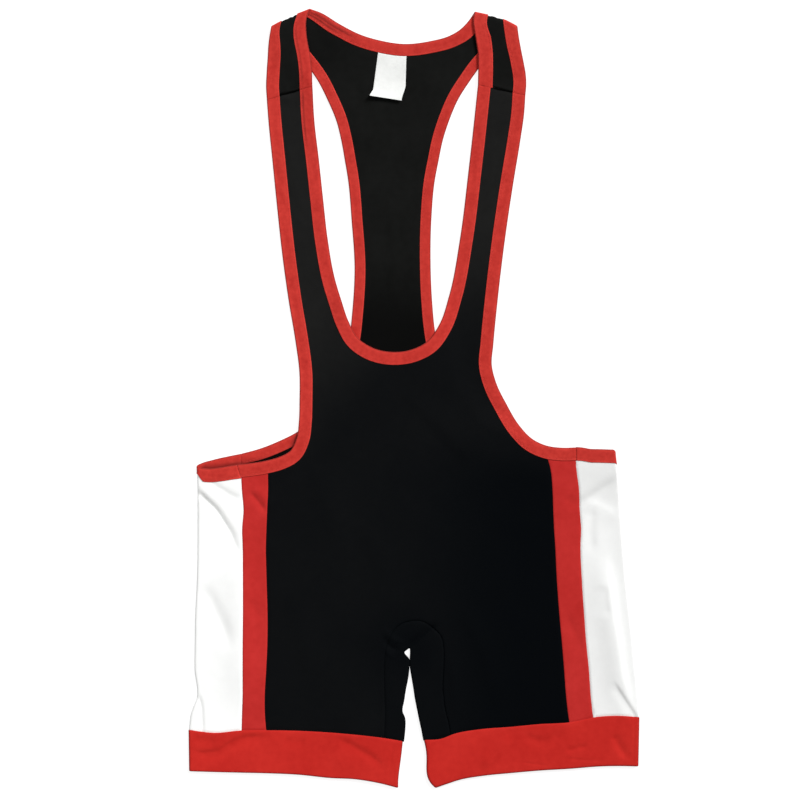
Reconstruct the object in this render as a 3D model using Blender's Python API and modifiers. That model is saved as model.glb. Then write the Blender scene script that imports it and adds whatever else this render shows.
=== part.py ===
"""Wrestling singlet laid flat, face up, on a table at Z = 0.

The T back lies on the table. Its straps roll over two shoulder folds and end in the shoulder
seams, a hand's width down the front straps. The front layer lies on the back layer, the side
panels wrap round the side folds, and one gusset wraps round both inner legs.
Every table is in millimetres: x runs to the right and y towards the shoulders, as it lies.
"""
import math
from collections import namedtuple

import bmesh
import bpy
import numpy as np
from mathutils import Vector
from mathutils.geometry import delaunay_2d_cdt

MM = 0.001

# ---- Cloth, in millimetres ----
PANEL_WALL = 1.0
HEM_WALL = 2.0
BINDING_WALL = 2.2
BINDING_WIDTH = 12.5
NARROW_ARM, NARROW_NECK = 10.4, 11.2    # width of the back's bindings where they are stretched
STRETCH_FROM, STRETCH_TO = 85.0, 120.0  # distance from a binding's end over which it narrows
BINDING_CHAMFER = 0.45
LABEL_WALL = 1.0
SEAM_GAP = 0.3
HALF_GAP = SEAM_GAP / 2
ROLL_GAP = 0.7                  # beside a binding where both roll over a shoulder fold
FOLD_RADIUS = 1.3               # of the cloth's middle surface, at every fold
BEND_STEPS = 6

# ---- How the layers lie ----
BOUND_HEIGHT = BINDING_WALL / 2  # middle of the back layer beside its binding
PANEL_HEIGHT = PANEL_WALL / 2    # middle of the back layer where it rests on the table
SAG_FROM, SAG_TO = 12.0, 40.0    # distance from the bound edge over which the back layer sinks
RAMP_FROM, RAMP_TO = -28.0, -3.0  # distance outside the back layer over which the front climbs it
LABEL_CURL = 3.0

# ---- Mesh spacing ----
STATION = 12.0
PANEL_GRID = 12.0
FINE_REACH = 36.0
ROLL_MARGIN = 4.0
ROW_STATION = 16.0
SIDE_SHARES = (0.0, 0.25, 0.5, 0.75, 1.0)

Fold = namedtuple("Fold", "base along outward")
Strip = namedtuple("Strip", "outer inner seam levels")
Crease = namedtuple("Crease", "x0 y0 x1 y1 height half_width")

# ---- Shoulder folds: the ends of each strap's top edge (x, y), arm side or neck side first ----
SHOULDER_TOPS = {
    "left": ((-145.5, 370.5), (-103.5, 389.8)),
    "right": ((59.0, 387.5), (103.0, 373.0)),
}

# ---- Free edges of the T back where it lies on the table (x, y) ----
BACK_NECK = (
    (-103.5, 389.0), (-94, 385), (-74, 373.5), (-54, 363.5), (-34, 357.5), (-10, 354.3),
    (16, 357), (36, 362.5), (46, 368.5), (54, 376.5), (59.5, 384.5),
)
BACK_ARM_LEFT = (
    (-142.5, 370), (-130, 358), (-114, 341), (-104, 329), (-96, 318), (-86, 298), (-77, 278),
    (-71.5, 258), (-68.3, 238), (-65, 218), (-61.5, 178), (-59, 128), (-60.5, 90), (-66, 48),
    (-76, 18), (-92, -10), (-114, -32.5), (-134, -43), (-154, -51), (-173, -55.8),
)
BACK_ARM_RIGHT = (
    (102.5, 371), (91, 356), (77, 343), (65, 331), (55, 318), (42, 298), (33.5, 278),
    (27, 258), (23, 238), (19.5, 218), (16, 178), (15, 133), (17, 98), (21, 61),
    (29, 28), (43, -2), (63, -27), (88, -43), (121, -52), (162, -55),
)

# ---- Free edges of the strap ends, folded on top, from the fold down to the shoulder seam ----
TOP_ARM_LEFT = ((-145.2, 362), (-145.6, 352), (-146.2, 341), (-147.4, 326), (-148, 312), (-147.2, 298.3))
TOP_NECK_LEFT = ((-107.6, 378), (-108, 366), (-107, 355), (-104.5, 344), (-102.5, 330), (-101.7, 311.7))
TOP_NECK_RIGHT = ((59.2, 378), (60, 368), (61.5, 358), (62.5, 346), (62.3, 332), (63.5, 313.3))
TOP_ARM_RIGHT = ((104.8, 364), (106.3, 350), (108.5, 336), (110.7, 324), (111.3, 314), (110.3, 302.8))

# ---- Free edges of the front, from the shoulder seams down (x, y) ----
FRONT_NECK = (
    TOP_NECK_LEFT[-1], (-101, 278), (-97, 238), (-92, 198), (-87.5, 158), (-80, 118),
    (-73.5, 97), (-66, 77), (-56, 60), (-42, 50.5), (-21, 46.2), (-2, 49), (13, 57), (25, 73),
    (35, 102), (46, 158), (55, 228), (61, 278), TOP_NECK_RIGHT[-1],
)
FRONT_ARM_LEFT = (
    TOP_ARM_LEFT[-1], (-145, 278), (-141, 238), (-137, 198), (-131, 138), (-125, 98), (-118, 58),
    (-114, 26), (-114, -2), (-115.5, -27), (-121, -45), (-131, -56.5), (-149, -62.5), (-167, -65),
    (-177.2, -66.3),
)
FRONT_ARM_RIGHT = (
    TOP_ARM_RIGHT[-1], (109, 286), (105, 258), (98, 218), (89, 158), (82, 98), (77.5, 53),
    (76.3, 33), (80.5, 16), (91, -7), (105, -29), (118, -42), (132, -48.5), (148, -50.5),
    (162, -50.5),
)
FRONT_SEAM_CUT = {"left": (0.316, -0.949), "right": (0.0, -1.0)}

# ---- Top edge of each side panel: x, y on the back, y on the front, from its seam to its fold ----
SIDE_TOPS = {
    "left": ((-173, -55.8, -66.3), (-184, -58, -67.8), (-194, -60.2, -69.2), (-204, -63, -70.2),
             (-214, -67, -70.6)),
    "right": ((162, -55, -50.5), (174, -55.3, -50.6), (186, -55.2, -51.8), (198, -55, -52.6)),
}

# ---- Lengthwise seams: y, then x of each side fold and each seam ----
Level = namedtuple("Level", "y fold_left white_left black_left black_right white_right fold_right")
LEVELS = tuple(Level(*row) for row in (
    (-50, -216.7, -173, -145, 130.0, 161.0, 200.6),
    (-72, -216.5, -173, -146, 136.6, 162.0, 203.3),
    (-92, -214.0, -171.5, -147, 138.2, 164.0, 205.5),
    (-142, -215.0, -171, -148, 140.7, 166.0, 208.5),
    (-182, -216.0, -171, -148, 142.8, 167.8, 212.0),
    (-222, -217.3, -171, -147.7, 145.8, 170.6, 216.5),
    (-267, -218.5, -171, -147.7, 149.8, 174.2, 221.0),
    (-300, -216.4, -171.3, -149.2, 152.6, 177.0, 224.3),
    (-314, -221.0, -171.7, -149.4, 154.5, 179.0, 225.2),
    (-345, -225.8, -172.8, -146.5, 158.6, 183.6, 225.8),
))

# ---- Hem bands: x, y of the upper seam and x, y of the lower edge, across each leg ----
HEMS = {
    "left": ((-225.6, -333.2, -224.7, -372.3), (-199, -335, -199, -373.4), (-174, -333, -174, -373.7),
             (-144, -331.3, -144, -374.3), (-114, -333, -114, -375.6), (-84, -334, -85, -378.5),
             (-54, -336.5, -57, -380.5), (-32, -338.8, -35, -384.3), (-11.6, -342.5, -16.5, -389.1)),
    "right": ((10.3, -341.6, 22, -389.1),(26, -340.8, 33, -385), (41, -335, 46, -380.5),
              (66, -330.5, 68, -377.3), (96, -328.5, 96, -374.5), (126, -325.5, 126, -371.6),
              (156, -323.5, 156, -370), (186, -319.2, 186, -367.8), (206, -317.6, 206, -367.6),
              (225.6, -318.3, 224.6, -368)),
}
HEM_ROWS, HEM_STATIONS = 7, 20
INNER_BOW = {"left": -0.8, "right": -4.9}  # how far the inner end's lower part bows to the right
INNER_BOW_REACH = 25.0

# ---- Gusset: x, y of the inner leg's fold and x, y of the arched seam, from hem to hem ----
GUSSET = (
    (-10.2, -341.8, -30.0, -339.2), (-8.7, -330.0, -29.4, -327.0), (-8.7, -320.5, -29.0, -315.0),
    (-11.4, -313.5, -29.3, -305.0), (-9.7, -303.0, -29.7, -292.0), (-8.0, -292.0, -30.0, -280.0),
    (-5.8, -282.0, -30.0, -270.0), (-4.4, -273.0, -29.6, -260.0), (-5.4, -262.0, -28.0, -250.0),
    (-8.8, -255.8, -24.0, -239.0), (-6.8, -252.6, -16.0, -228.0), (-4.4, -251.0, -6.0, -223.5),
    (-2.9, -253.5, 7.0, -223.0), (-3.6, -260.5, 18.0, -229.0), (-3.7, -273.0, 27.0, -238.0),
    (-2.0, -282.0, 30.0, -252.0), (-0.5, -292.0, 29.8, -270.0), (1.0, -302.0, 29.0, -290.0),
    (3.0, -312.0, 30.0, -301.0), (5.0, -322.0, 31.5, -312.0), (7.4, -332.0, 35.0, -326.0),
    (9.4, -341.3, 36.5, -336.3),
)

# ---- Care label: its corners, under the back neck binding ----
LABEL_CORNERS = ((-35.5, 343.6), (-6.6, 340.2), (-12.1, 297.0), (-45.0, 302.0))

# ---- Largest folds of the front layer: a ridge has a height, a trough a depth below zero ----
CREASES = tuple(Crease(*row) for row in (
    (-212, -92, -176, -158, -0.9, 9),
    (-198, -84, -174, -142, 0.9, 9),
    (-216, -205, -190, -250, 0.7, 10),
    (205, -284, 224, -312, -0.9, 8),
    (196, -276, 214, -318, 0.9, 10),
    (172, -96, 200, -76, 0.8, 12),
    (-14, 12, 66, -76, 0.7, 14),
    (-150, -338, -222, -356, 0.8, 12),
    (66, -376, 98, -338, 0.7, 12),
    (-48, -344, -30, -374, 0.7, 10),
))


# ---------------------------------------------------------------- lines on the table
def smooth_line(rows, step):
    """Smooth line through the rows' points, with a point about every step millimetres."""
    p = np.array(rows, float)
    chord = np.linalg.norm(np.diff(p, axis=0), axis=1)[:, None]
    slope = np.diff(p, axis=0) / chord
    middle = (chord[1:] * slope[:-1] + chord[:-1] * slope[1:]) / (chord[1:] + chord[:-1])
    tangent = np.vstack([slope[:1], middle, slope[-1:]])
    pieces = []
    for start, end, h, leave, arrive in zip(p, p[1:], chord, tangent, tangent[1:]):
        t = np.linspace(0, 1, max(1, round(h[0] / step)), endpoint=False)[:, None]
        pieces.append((2 * t**3 - 3 * t**2 + 1) * start + (t**3 - 2 * t**2 + t) * h * leave
                      + (3 * t**2 - 2 * t**3) * end + (t**3 - t**2) * h * arrive)
    return np.vstack(pieces + [p[-1:]])


def arc_lengths(line):
    steps = np.linalg.norm(np.diff(line, axis=0), axis=1)
    return np.concatenate([[0.0], np.cumsum(steps)])


def points_at(line, distances):
    """Points of a line at the given distances along it."""
    arc = arc_lengths(line)
    return np.column_stack([np.interp(distances, arc, column) for column in line.T])


def trimmed(line, start, end):
    """The line without its first start and last end millimetres."""
    total = arc_lengths(line)[-1]
    count = max(3, len(line))
    return points_at(line, np.linspace(start, total - end, count))


def smoothstep(low, high, value):
    t = min(1.0, max(0.0, (value - low) / (high - low)))
    return t * t * (3 - 2 * t)


def unit(vector):
    return np.array(vector, float) / np.linalg.norm(vector)


def level_line(column, y_values, shift=0.0):
    """Points of one lengthwise seam at the given heights, shifted sideways."""
    rows = [(level.y, getattr(level, column)) for level in LEVELS]
    dense = smooth_line(rows, 2.0)[::-1]
    return [(np.interp(y, dense[:, 0], dense[:, 1]) + shift, y) for y in y_values]


def seam_x(column, y):
    return level_line(column, [y])[0][0]


def height_on(line, x):
    """y of a line that runs across, at x."""
    order = np.argsort(line[:, 0])
    return float(np.interp(x, line[order, 0], line[order, 1]))


# ---------------------------------------------------------------- shoulder folds
def make_fold(ends):
    """The line where the strap starts to roll: its top edge, less the roll's own thickness."""
    start, end = (np.array(point, float) for point in ends)
    along = unit(end - start)
    outward = np.array((-along[1], along[0]))
    base = start - outward * (FOLD_RADIUS + BINDING_WALL / 2)
    return Fold(base, along, outward)


FOLDS = {side: make_fold(ends) for side, ends in SHOULDER_TOPS.items()}
ROLL = math.pi * FOLD_RADIUS


def past_fold(fold, point):
    """How far a pattern point lies past the fold's line."""
    return float(np.dot(np.asarray(point) - fold.base, fold.outward))


def unfolded(fold, point):
    """Pattern point of a point that lies on the strap's folded end."""
    return tuple(np.asarray(point) + fold.outward * (ROLL - 2 * past_fold(fold, point)))


def unfolded_direction(fold, direction):
    direction = np.asarray(direction, float)
    return direction - 2 * np.dot(direction, fold.outward) * fold.outward


# ---------------------------------------------------------------- heights of the two layers
def bound_line(rows, side_rows):
    """A back arm edge with the back edge of its side panel, as far as past the side fold."""
    line = list(rows) + [row[:2] for row in side_rows[1:]]
    past = (line[-1][0] * 1.2, line[-1][1])
    return smooth_line(line + [past], 6.0)


BOUND_LINES = [
    bound_line(BACK_ARM_LEFT, SIDE_TOPS["left"]),
    smooth_line(BACK_NECK, 6.0),
    bound_line(BACK_ARM_RIGHT, SIDE_TOPS["right"]),
]
BOUND_STARTS = np.vstack([line[:-1] for line in BOUND_LINES])
BOUND_ENDS = np.vstack([line[1:] for line in BOUND_LINES])
FAR = 600.0
BACK_SILHOUETTE = np.vstack([
    BOUND_LINES[1], BOUND_LINES[2], [(FAR, 0.0), (FAR, -FAR), (-FAR, -FAR), (-FAR, 0.0)],
    BOUND_LINES[0][::-1],
])


def inside(outline, point):
    """True where a closed outline holds the point."""
    x, y = point
    x0, y0 = outline[:, 0], outline[:, 1]
    x1, y1 = np.roll(x0, -1), np.roll(y0, -1)
    crosses = (y0 > y) != (y1 > y)
    rise = np.where(crosses, y1 - y0, 1.0)
    return bool(np.count_nonzero(crosses & (x < x0 + (y - y0) / rise * (x1 - x0))) % 2)


def nearest(starts, ends, point):
    """Distance from a point to the nearest of many straight pieces."""
    span = ends - starts
    share = np.clip(((point - starts) * span).sum(1) / (span * span).sum(1), 0, 1)
    return float(np.linalg.norm(starts + span * share[:, None] - point, axis=1).min())


def depth_in_back(point):
    """Distance from the back layer's bound edge, positive inside the back layer."""
    point = np.asarray(point, float)
    distance = nearest(BOUND_STARTS, BOUND_ENDS, point)
    return distance if inside(BACK_SILHOUETTE, point) else -distance


def back_height(point):
    """Middle of the back layer: it sinks from its binding down to the table."""
    sunk = smoothstep(SAG_FROM, SAG_TO, depth_in_back(point))
    return BOUND_HEIGHT + (PANEL_HEIGHT - BOUND_HEIGHT) * sunk


def crease_height(point):
    """Sum of the soft ridges and troughs at a point."""
    total = 0.0
    for crease in CREASES:
        start = np.array((crease.x0, crease.y0), float)
        span = np.array((crease.x1, crease.y1), float) - start
        share = np.dot(np.asarray(point) - start, span) / np.dot(span, span)
        off = np.linalg.norm(np.asarray(point) - start - span * min(1.0, max(0.0, share)))
        fade = smoothstep(-0.25, 0.3, share) * (1 - smoothstep(0.7, 1.25, share))
        total += crease.height * fade * math.exp(-(off / crease.half_width) ** 2)
    return total


def front_height(point):
    """Middle of the front layer: on the table beside the T back, and on the back layer over it."""
    climb = smoothstep(RAMP_FROM, RAMP_TO, depth_in_back(point))
    return back_height(point) + 2 * FOLD_RADIUS * climb + crease_height(point)


# ---------------------------------------------------------------- places on each layer
def on_front(point, lift):
    """A pattern point of the front layer, lifted off the cloth's middle."""
    return Vector((point[0], point[1], front_height(point) + lift))


def on_back(point, lift):
    """A pattern point of the back layer; its strap ends roll over the shoulder folds."""
    fold = FOLDS["left" if point[0] < -20 else "right"]
    past = past_fold(fold, point)
    if past <= 0:
        return Vector((point[0], point[1], back_height(point) - lift))
    point = np.asarray(point, float)
    if past < ROLL:
        start = point - fold.outward * past
        turn = past / FOLD_RADIUS
        reach = FOLD_RADIUS + lift
        x, y = start + fold.outward * reach * math.sin(turn)
        return Vector((x, y, back_height(start) + FOLD_RADIUS - reach * math.cos(turn)))
    x, y = point - fold.outward * (2 * past - ROLL)
    return Vector((x, y, front_height((x, y)) + lift))


# ---------------------------------------------------------------- meshes
def new_object(name, points, faces, material):
    mesh = bpy.data.meshes.new(name)
    mesh.from_pydata([Vector(point) * MM for point in points], [], faces)
    shape = bmesh.new()
    shape.from_mesh(mesh)
    bmesh.ops.recalc_face_normals(shape, faces=shape.faces)
    shape.to_mesh(mesh)
    shape.free()
    mesh.materials.append(material)
    mesh.shade_smooth()
    mesh.set_sharp_from_angle(angle=math.radians(40))
    piece = bpy.data.objects.new(name, mesh)
    SINGLET.objects.link(piece)
    return piece


def add_wall(piece, wall):
    """Thicken an open surface evenly to both sides."""
    solidify = piece.modifiers.new("cloth wall", "SOLIDIFY")
    solidify.thickness = wall * MM
    solidify.offset = 0
    solidify.use_even_offset = True


def grid_sheet(name, rows, wall, material, around=False):
    """Cloth through rows of points; the rows close on themselves when it goes all round."""
    width = len(rows[0])
    columns = width if around else width - 1
    faces = []
    for row in range(len(rows) - 1):
        for column in range(columns):
            here = row * width + column
            across = row * width + (column + 1) % width
            faces.append((here, across, across + width, here + width))
    piece = new_object(name, [point for row in rows for point in row], faces, material)
    add_wall(piece, wall)
    return piece


def filling_points(outline, spacing, density):
    """Staggered points inside an outline: none, a quarter or all where density says 0, 1 or 2."""
    closed = np.vstack([outline, outline[:1]])
    low, high = outline.min(0), outline.max(0)
    found = []
    rows = int((high[1] - low[1]) / spacing)
    columns = int((high[0] - low[0]) / spacing)
    for row in range(1, rows + 1):
        for column in range(1, columns + 1):
            x = low[0] + spacing * (column + 0.5 * (row % 2))
            point = np.array((x, low[1] + spacing * row))
            wanted = 1 if row % 2 == 0 and column % 2 == 0 else 2
            if not inside(outline, point) or density(point) < wanted:
                continue
            if nearest(closed[:-1], closed[1:], point) > 0.55 * spacing:
                found.append(tuple(point))
    return found


def cloth_panel(name, outline, place, material, density, ties=()):
    """Flat pattern piece filled with triangles, laid in place and given its wall."""
    outline = np.array(outline, float)
    corners = [tuple(point) for point in outline]
    extra = filling_points(outline, PANEL_GRID, density)
    points = [Vector(point) for point in corners + extra]
    border = list(range(len(corners)))
    filled = delaunay_2d_cdt(points, list(ties), [border], 1, 1e-5)
    piece = new_object(name, [place(point, 0.0) for point in filled[0]], filled[2], material)
    add_wall(piece, PANEL_WALL)
    return piece


# ---------------------------------------------------------------- bindings
def roll_stations(line, folds):
    """Distances along a line at which it crosses each step of each fold's roll."""
    arc = arc_lengths(line)
    stations = {}
    for side in folds:
        past = (line - FOLDS[side].base) @ FOLDS[side].outward
        for step in range(BEND_STEPS + 1):
            level = ROLL * step / BEND_STEPS
            crossing = np.nonzero((past[:-1] > level) != (past[1:] > level))[0]
            for first in crossing:
                share = (level - past[first]) / (past[first + 1] - past[first])
                place = arc[first] + share * (arc[first + 1] - arc[first])
                stations[place] = (side, step)
    return stations


def cut_direction(point, normal, folds, ends):
    """Direction across the binding: square to it, but along a fold or a cut end nearby."""
    direction = normal
    for side in folds:
        past = past_fold(FOLDS[side], point)
        away = max(-past, past - ROLL, 0.0)
        near = 1 - smoothstep(8.0, 36.0, away)
        along = FOLDS[side].along * math.copysign(1.0, np.dot(FOLDS[side].along, normal))
        direction = unit(direction * (1 - near) + along * near)
    for cut, distance in ends:
        if cut is not None:
            near = 1 - smoothstep(0.0, 25.0, distance)
            direction = unit(direction * (1 - near) + unit(cut) * near)
    return direction


def binding_width(narrow, from_end):
    """Width of a binding at a distance from its nearer end: it is stretched between its ends."""
    return BINDING_WIDTH + (narrow - BINDING_WIDTH) * smoothstep(STRETCH_FROM, STRETCH_TO, from_end)


def binding_strip(rows, hand, folds=(), first_cut=None, last_cut=None, narrow=BINDING_WIDTH):
    """Sections of a binding along its free edge; hand is 1 with the cloth on the left."""
    line = trimmed(smooth_line(rows, 1.0), HALF_GAP, HALF_GAP)
    total = arc_lengths(line)[-1]
    rolls = roll_stations(line, folds)
    even = np.linspace(0, total, round(total / STATION) + 1)
    kept = [d for d in even if all(abs(d - r) > 4.0 for r in rolls)]
    distances = sorted(kept + list(rolls))
    points = points_at(line, distances)
    ahead = points_at(line, np.minimum(np.array(distances) + 0.5, total))
    behind = points_at(line, np.maximum(np.array(distances) - 0.5, 0))
    inner, seam, levels = [], [], {}
    for index, (distance, point) in enumerate(zip(distances, points)):
        heading = unit(ahead[index] - behind[index])
        normal = hand * np.array((-heading[1], heading[0]))
        ends = ((first_cut, distance), (last_cut, total - distance))
        direction = cut_direction(point, normal, folds, ends)
        reach = direction / np.dot(direction, normal)
        width = binding_width(narrow, min(distance, total - distance))
        gap = ROLL_GAP if distance in rolls else SEAM_GAP
        inner.append(point + reach * width)
        seam.append(point + reach * (width + gap))
        if distance in rolls:
            levels[rolls[distance]] = index
    return Strip(points, np.array(inner), np.array(seam), levels)


def binding_ring():
    """Section of a folded binding: share of its width, and lift from its middle."""
    top = BINDING_WALL / 2
    nose = top - BINDING_CHAMFER
    share = BINDING_CHAMFER / BINDING_WIDTH
    return ((0, -nose), (0, nose), (share, top), (0.5, top), (1, top),
            (1, -top), (0.5, -top), (share, -top))


def loft(name, rings, material):
    """Closed solid through a row of closed sections."""
    size = len(rings[0])
    faces = [tuple(range(size)), tuple(range((len(rings) - 1) * size, len(rings) * size))]
    for ring in range(len(rings) - 1):
        for corner in range(size):
            here = ring * size + corner
            across = ring * size + (corner + 1) % size
            faces.append((here, across, across + size, here + size))
    return new_object(name, [point for ring in rings for point in ring], faces, material)


def binding(name, strip, place, material):
    rings = []
    for outer, inner in zip(strip.outer, strip.inner):
        rings.append([place(outer + (inner - outer) * share, lift) for share, lift in binding_ring()])
    return loft(name, rings, material)


def shoulder_cut(side):
    """Direction of a shoulder seam, from its arm side to its neck side."""
    arm, neck = {"left": (TOP_ARM_LEFT, TOP_NECK_LEFT), "right": (TOP_ARM_RIGHT, TOP_NECK_RIGHT)}[side]
    return unit(np.subtract(neck[-1], arm[-1]))


def back_strips():
    """Bindings of the back layer, in its pattern's plane."""
    left, right = FOLDS["left"], FOLDS["right"]
    cut_left = unfolded_direction(left, shoulder_cut("left"))
    cut_right = unfolded_direction(right, shoulder_cut("right"))
    arm_left = [unfolded(left, point) for point in TOP_ARM_LEFT[::-1]] + list(BACK_ARM_LEFT)
    arm_right = [unfolded(right, point) for point in TOP_ARM_RIGHT[::-1]] + list(BACK_ARM_RIGHT)
    neck = [unfolded(left, point) for point in TOP_NECK_LEFT[::-1]] + list(BACK_NECK)
    neck += [unfolded(right, point) for point in TOP_NECK_RIGHT]
    down = (0.0, -1.0)
    return {
        "arm_left": binding_strip(arm_left, 1, ["left"], cut_left, down, NARROW_ARM),
        "neck": binding_strip(neck, -1, ["left", "right"], -cut_left, -cut_right, NARROW_NECK),
        "arm_right": binding_strip(arm_right, -1, ["right"], cut_right, down, NARROW_ARM),
    }


def front_strips():
    """Bindings of the front layer."""
    cut_left, cut_right = shoulder_cut("left"), shoulder_cut("right")
    return {
        "arm_left": binding_strip(FRONT_ARM_LEFT, 1, (), cut_left, FRONT_SEAM_CUT["left"]),
        "neck": binding_strip(FRONT_NECK, -1, (), -cut_left, -cut_right),
        "arm_right": binding_strip(FRONT_ARM_RIGHT, -1, (), cut_right, FRONT_SEAM_CUT["right"]),
    }


# ---------------------------------------------------------------- side panels
def side_sign(side):
    """Direction from the side fold into the garment."""
    return 1 if side == "left" else -1


def fold_axis_x(side, y):
    """x of the side fold's axis, inside the visible fold."""
    return seam_x("fold_" + side, y) + side_sign(side) * (FOLD_RADIUS + PANEL_WALL / 2)


def wrapped_point(side, y, inward, turn, lift):
    """Point of a wrapped side piece.

    turn runs from -90 degrees on the back layer to 90 degrees on the front layer; inward is the
    distance from the fold's axis, on either layer.
    """
    axis = fold_axis_x(side, y)
    sign = side_sign(side)
    reach = FOLD_RADIUS + lift
    if abs(turn) < 90:
        angle = math.radians(turn)
        axis_height = back_height((axis, y)) + FOLD_RADIUS
        return Vector((axis - sign * reach * math.cos(angle), y, axis_height + reach * math.sin(angle)))
    x = axis + sign * inward
    if turn > 0:
        return on_front((x, y), lift)
    return Vector((x, y, back_height((x, y)) - lift))


def wrap_stations(shares):
    """Places round a side fold: share of the way to the seam, and turn, from back to front."""
    bend = [(0.0, -90 + 180 * step / BEND_STEPS) for step in range(1, BEND_STEPS)]
    back = [(share, -90) for share in shares[::-1]]
    front = [(share, 90) for share in shares]
    return back + bend + front


def side_top_line(side):
    """Free edge of a side panel: dense rows of x, y on the back, y on the front."""
    return smooth_line(SIDE_TOPS[side], 1.0)


def side_top_y(side, x, turn):
    """y of the free edge at x, on the back or the front, or between them round the fold."""
    rows = side_top_line(side)
    rows = rows[np.argsort(rows[:, 0])]
    back = float(np.interp(x, rows[:, 0], rows[:, 1]))
    front = float(np.interp(x, rows[:, 0], rows[:, 2]))
    share = (max(-90, min(90, turn)) + 90) / 180
    return back + (front - back) * share


def binding_seam_x(side, turn, across):
    """x of a side binding's seam on either layer, some share of the way across the binding."""
    if turn < 0:
        return SIDE_TOPS[side][0][0]
    edge_x = {"left": FRONT_ARM_LEFT, "right": FRONT_ARM_RIGHT}[side][-1][0]
    lean = FRONT_SEAM_CUT[side][0] / -FRONT_SEAM_CUT[side][1]
    return edge_x + lean * BINDING_WIDTH * across


def binding_edge_y(side, share, turn):
    """y of a side binding's free edge, share of the way from the fold's axis to its seam."""
    axis = fold_axis_x(side, SIDE_TOPS[side][0][1])
    return side_top_y(side, axis + share * (binding_seam_x(side, turn, 0) - axis), turn)


def side_binding(side, material):
    """Binding on a side panel's top, from the back seam round the fold to the front seam."""
    rings = []
    for share, turn in wrap_stations(SIDE_SHARES):
        edge = binding_edge_y(side, share, turn)
        ring = []
        for across, lift in binding_ring():
            y = edge - BINDING_WIDTH * across
            reach = abs(binding_seam_x(side, turn, across) - fold_axis_x(side, y)) - HALF_GAP
            ring.append(wrapped_point(side, y, share * reach, turn, lift))
        rings.append(ring)
    return loft("side_binding_" + side, rings, material)


def side_panel_x(side, y, share):
    """x on a side panel, share of the way from the fold's axis to its seam."""
    axis = fold_axis_x(side, y)
    edge = seam_x("white_" + side, y) - side_sign(side) * HALF_GAP
    return axis + (edge - axis) * share


def stripe_x(side, y, share):
    """x on a stripe, share of the way from the side panel to the front panel."""
    outer = seam_x("white_" + side, y) + side_sign(side) * HALF_GAP
    inner = seam_x("black_" + side, y) - side_sign(side) * HALF_GAP
    return outer + (inner - outer) * share


def hem_meeting(hem_top, x_at):
    """Where a lengthwise line, given as x at each y, ends above a hem band's seam."""
    y = LEVELS[-1].y
    for _ in range(3):
        y = height_on(hem_top, x_at(y)) + SEAM_GAP
    return x_at(y), y


def side_panel(side, hem_top, material):
    """White side panel, wrapped round the side fold from the back seam to the stripe."""
    stations = wrap_stations(SIDE_SHARES)
    count = round((SIDE_TOPS[side][0][1] - LEVELS[-1].y) / ROW_STATION)
    rows = []
    for step in range(count + 1):
        row = []
        for share, turn in stations:
            top = binding_edge_y(side, share, turn) - BINDING_WIDTH - SEAM_GAP
            low = hem_meeting(hem_top, lambda y: side_panel_x(side, y, share))[1]
            y = top + (low - top) * step / count
            inward = abs(side_panel_x(side, y, share) - fold_axis_x(side, y))
            row.append(wrapped_point(side, y, inward, turn, 0.0))
        rows.append(row)
    return grid_sheet("side_panel_" + side, rows, PANEL_WALL, material)


def stripe(side, arm_seam, hem_top, material):
    """Red strip between the front panel and a side panel."""
    count = round((FRONT_ARM_LEFT[-1][1] - LEVELS[-1].y) / ROW_STATION)
    rows = []
    for step in range(count + 1):
        row = []
        for share in (0.0, 1 / 3, 2 / 3, 1.0):
            top = height_on(arm_seam, stripe_x(side, FRONT_ARM_LEFT[-1][1] - BINDING_WIDTH, share))
            low = hem_meeting(hem_top, lambda y: stripe_x(side, y, share))[1]
            y = top + (low - top) * step / count
            row.append(on_front((stripe_x(side, y, share), y), 0.0))
        rows.append(row)
    return grid_sheet("stripe_" + side, rows, PANEL_WALL, material)


# ---------------------------------------------------------------- hem bands
def hem_line(side, share):
    """Line across a hem band, share of the way from its upper seam to its lower edge."""
    dense = smooth_line(HEMS[side], 2.0)
    line = dense[:, :2] + (dense[:, 2:] - dense[:, :2]) * share
    inner = line[-1 if side == "left" else 0]
    away = np.linalg.norm(line - inner, axis=1)
    near = np.clip(1 - away / INNER_BOW_REACH, 0, 1) ** 2
    line[:, 0] += INNER_BOW[side] * 9.5 * share ** 3 * (1 - share) * near
    return line


def hem_row(side, share, count):
    """Closed ring of a hem band: the front from left to right, a bend, the back, a bend."""
    inset = FOLD_RADIUS + HEM_WALL / 2
    line = trimmed(hem_line(side, share), inset, inset)
    flat = points_at(line, np.linspace(0, arc_lengths(line)[-1], count))
    low = HEM_WALL / 2
    high = low + 2 * FOLD_RADIUS
    ring = [Vector((x, y, high + crease_height((x, y)))) for x, y in flat]
    ring += bend_points(flat[-1], unit(flat[-1] - flat[-2]), low + FOLD_RADIUS, -1)
    ring += [Vector((x, y, low)) for x, y in flat[::-1]]
    ring += bend_points(flat[0], unit(flat[0] - flat[1]), low + FOLD_RADIUS, 1)
    return ring


def bend_points(centre, outward, height, rise):
    """Points between the two layers round a fold, going up with rise 1 and down with rise -1."""
    points = []
    for step in range(1, BEND_STEPS):
        turn = math.pi * step / BEND_STEPS
        x, y = centre + outward * FOLD_RADIUS * math.sin(turn)
        points.append(Vector((x, y, height - rise * FOLD_RADIUS * math.cos(turn))))
    return points


def hem_band(side, material):
    rows = [hem_row(side, row / (HEM_ROWS - 1), HEM_STATIONS) for row in range(HEM_ROWS)]
    return grid_sheet("hem_band_" + side, rows, HEM_WALL, material, around=True)


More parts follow.
